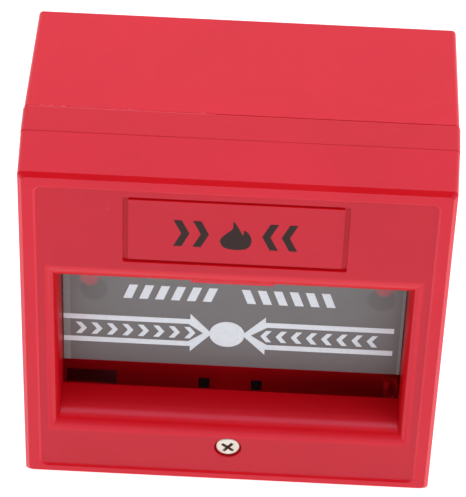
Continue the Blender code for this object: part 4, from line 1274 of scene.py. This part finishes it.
def make_chassis_screws():
    head, shank = 3.4, 1.75
    for node in ("chassis_screw_left", "chassis_screw_right"):
        x_span, depth_span, z_span = spans(node)
        place = (middle(x_span), depth_span[0], middle(z_span))
        angles = [math.radians(turn) for turn in range(0, 91, 10)]
        profile = [(head * math.sin(angle), 0.95 * (1 - math.cos(angle))) for angle in angles]
        profile += [(head, 1.36), (head - 0.1, 1.4), (shank, 1.4)]
        profile += thread_profile(shank, 1.9, 11.4, 0.6, 0.28) + [(1.1, 12.15), (0, 12.15)]
        screw = turned(f"{node}_fine", profile, place, BACK, "zinc")
        cut(screw, *cross_tools(place, BACK, 1.7, 1.1, 0.75))
        soften(screw, 0.04, 35)
        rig.replaces(screw, node)
        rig.slot(screw, "zinc_steel")
        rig.ride(screw, "casing")


def make_grommet():
    neck = 5.7
    profile = [(0, 0.25), (1.2, 0.18), (2.2, 0.02), (7.3, 0.0), (7.52, 0.1), (7.6, 0.3), (7.6, 0.6)]
    profile += [(7.4, 0.8), (neck, 0.8), (neck, 2.6), (7.2, 2.6), (7.4, 2.8), (7.0, 4.1), (6.6, 4.2)]
    profile += [(4.6, 4.2), (4.4, 4.0), (4.4, 1.2), (4.2, 1.0), (0, 1.0)]
    grommet = turned("grommet_fine", profile, (0, GROMMET[1][1], ENTRY_Z), FRONT, "rubber", 64)
    grommet.data.shade_smooth()
    grommet.data.set_sharp_from_angle(angle=math.radians(35))
    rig.replaces(grommet, "cable_grommet")
    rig.slot(grommet, "black_rubber")
    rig.ride(grommet, "casing")


def make_spring():
    """The return spring with ground end turns, wound as a curve."""
    depth_span = spans("pane_return_spring")[1]
    wire = 0.225
    radius = 2.2
    front, rear = depth_span[0] + wire, depth_span[1] - wire
    turns, steps = 6, 6 * 28
    data = bpy.data.curves.new("return_spring_fine", "CURVE")
    data.dimensions = "3D"
    data.bevel_depth = wire * MM
    data.bevel_resolution = 4
    data.use_fill_caps = True
    line = data.splines.new("POLY")
    line.points.add(steps)
    for step, knot in enumerate(line.points):
        share = step / steps
        eased = share - 0.13 * math.sin(math.tau * share) / 1.3
        angle = math.tau * turns * share
        x, z = radius * math.cos(angle), SPRING_Z + radius * math.sin(angle)
        knot.co = (*point(x, rear + (front - rear) * eased, z), 1.0)
    wound = link("return_spring_line", data)
    mesh = baked(wound)
    bpy.data.objects.remove(wound)
    spring = link("return_spring_fine", mesh)
    mesh.materials.clear()
    mesh.materials.append(MATERIALS["steel"])
    mesh.shade_smooth()
    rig.replaces(spring, "pane_return_spring")
    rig.slot(spring, "zinc_steel")
    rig.ride(spring, "casing")
    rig.squash(spring, "pane_press", axis=(0, 1, 0), anchor=point(0, depth_span[1], SPRING_Z), keep=0.91)


SIDES = ("left", "right")
NUMBERS = (1, 2, 3)
CARRIED = {
    "brass": (
        "cover_insert",
        *(f"box_insert_{side}" for side in SIDES),
        *(f"switch_terminal_{use}" for use in ("common", "closed", "open")),
        *(f"terminal_clamp_{number}" for number in NUMBERS),
    ),
    "zinc": (
        *(f"switch_screw_{side}" for side in SIDES),
        *(f"terminal_screw_{number}" for number in NUMBERS),
    ),
    "steel": ("switch_lever", "lever_pin", "roller_pin"),
    "black": ("switch_base", "switch_lid", "terminal_block", "cover_screw_washer"),
    "white": ("switch_roller", "switch_plunger"),
    "red_wire": ("lead_common",),
    "black_wire": ("lead_open",),
    "blue_wire": ("lead_closed",),
}


def dress_carried_nodes():
    """Gives each CAD node that stays its procedural finish."""
    for material, nodes in CARRIED.items():
        for node in nodes:
            piece = frame["nodes"][node]
            piece.data.materials.clear()
            piece.data.materials.append(MATERIALS[material])


# ---------------------------------------------------------------- floor, light and camera

CAMERA_PLACE = (0.00671, -0.47069, 0.42525)
CAMERA_AZIMUTH = -0.97
CAMERA_ELEVATION = 43.54
CAMERA_ROLL = 2.118
CAMERA_LENS = 215.19


def make_camera():
    data = bpy.data.cameras.new("camera")
    data.sensor_width = 36.0
    data.lens = CAMERA_LENS
    data.clip_start = 0.01
    data.clip_end = 20.0
    camera = link("camera", data)
    azimuth, elevation = math.radians(CAMERA_AZIMUTH), math.radians(CAMERA_ELEVATION)
    flat = math.cos(elevation)
    forward = Vector((math.sin(azimuth) * flat, math.cos(azimuth) * flat, -math.sin(elevation)))
    level = forward.cross(Vector((0, 0, 1))).normalized()
    above = level.cross(forward)
    roll = math.radians(CAMERA_ROLL)
    right = level * math.cos(roll) + above * math.sin(roll)
    up = right.cross(forward)
    turn = Matrix((right, up, -forward)).transposed().to_4x4()
    camera.matrix_world = Matrix.Translation(CAMERA_PLACE) @ turn
    bpy.context.scene.camera = camera


def make_floor():
    size = 3.0
    bottom = START_BOUNDS[0].z - 0.0002
    mesh = bpy.data.meshes.new("floor")
    corners = ((-1, -1), (1, -1), (1, 1), (-1, 1))
    mesh.from_pydata([(x * size, y * size, bottom) for x, y in corners], [], [(0, 1, 2, 3)])
    mesh.materials.append(floor_material())
    floor = link("floor", mesh)
    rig.stage(floor)


# The tent's light by direction: the way looked at, then the likeness to it where the level starts and
# stops changing, and the levels there
HOLE_WAY = (0.02, -0.72, 0.69)
WORLD_HOLE = (0.83, 0.965, 1.0, 0.0)
TOP_WAY = (0.10, 0.75, 0.65)
WORLD_TOP = (-0.6, 0.8, 0.45, 1.03)
WORLD_COLOUR = (1.0, 1.0, 1.03, 1.0)


def make_world():
    """A white tent, brightest above and behind, with a dark patch where a photographer stands."""
    world = bpy.data.worlds.new("tent")
    bpy.context.scene.world = world
    world.use_nodes = True
    tree = world.node_tree
    background = tree.nodes["Background"]
    coordinates = tree.nodes.new("ShaderNodeTexCoord")

    def near(direction, start, end, low, high):
        """A level that goes from low to high as directions come close to the given one."""
        likeness = tree.nodes.new("ShaderNodeVectorMath")
        likeness.operation = "DOT_PRODUCT"
        likeness.inputs[1].default_value = direction
        tree.links.new(coordinates.outputs["Generated"], likeness.inputs[0])
        level = tree.nodes.new("ShaderNodeMapRange")
        level.interpolation_type = "SMOOTHSTEP"
        for key, value in (("From Min", start), ("From Max", end), ("To Min", low), ("To Max", high)):
            level.inputs[key].default_value = value
        tree.links.new(likeness.outputs["Value"], level.inputs["Value"])
        return level.outputs["Result"]

    product = tree.nodes.new("ShaderNodeMath")
    product.operation = "MULTIPLY"
    tree.links.new(near(HOLE_WAY, *WORLD_HOLE), product.inputs[0])
    tree.links.new(near(TOP_WAY, *WORLD_TOP), product.inputs[1])
    tree.links.new(product.outputs["Value"], background.inputs["Strength"])
    background.inputs["Color"].default_value = WORLD_COLOUR


def add_lamp(name, place, target, size, watts):
    data = bpy.data.lights.new(name, "AREA")
    data.shape = "SQUARE"
    data.size = size
    data.energy = watts
    lamp = link(name, data)
    lamp.location = place
    lamp.rotation_euler = (Vector(target) - Vector(place)).to_track_quat("-Z", "Y").to_euler()


def make_lights():
    centre = (0, -0.025, 0)
    add_lamp("right_soft", (0.9, -0.5, 0.5), centre, 0.6, 1.2)
    add_lamp("high_soft", (0.1, -0.35, 0.93), centre, 0.6, 1.75)


def main():
    make_camera()
    bpy.context.scene.view_settings.view_transform = "Standard"
    make_floor()
    make_world()
    make_lights()
    make_cover()
    make_chassis()
    make_box()
    make_seam_flash()
    make_pane()
    make_pane_print()
    make_label()
    make_cover_screw()
    make_chassis_screws()
    make_grommet()
    make_spring()
    dress_carried_nodes()


main()
END_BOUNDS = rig.bounds()
with open("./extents.json", "w") as size_file:
    json.dump({"start": [list(c) for c in START_BOUNDS], "end": [list(c) for c in END_BOUNDS]}, size_file)
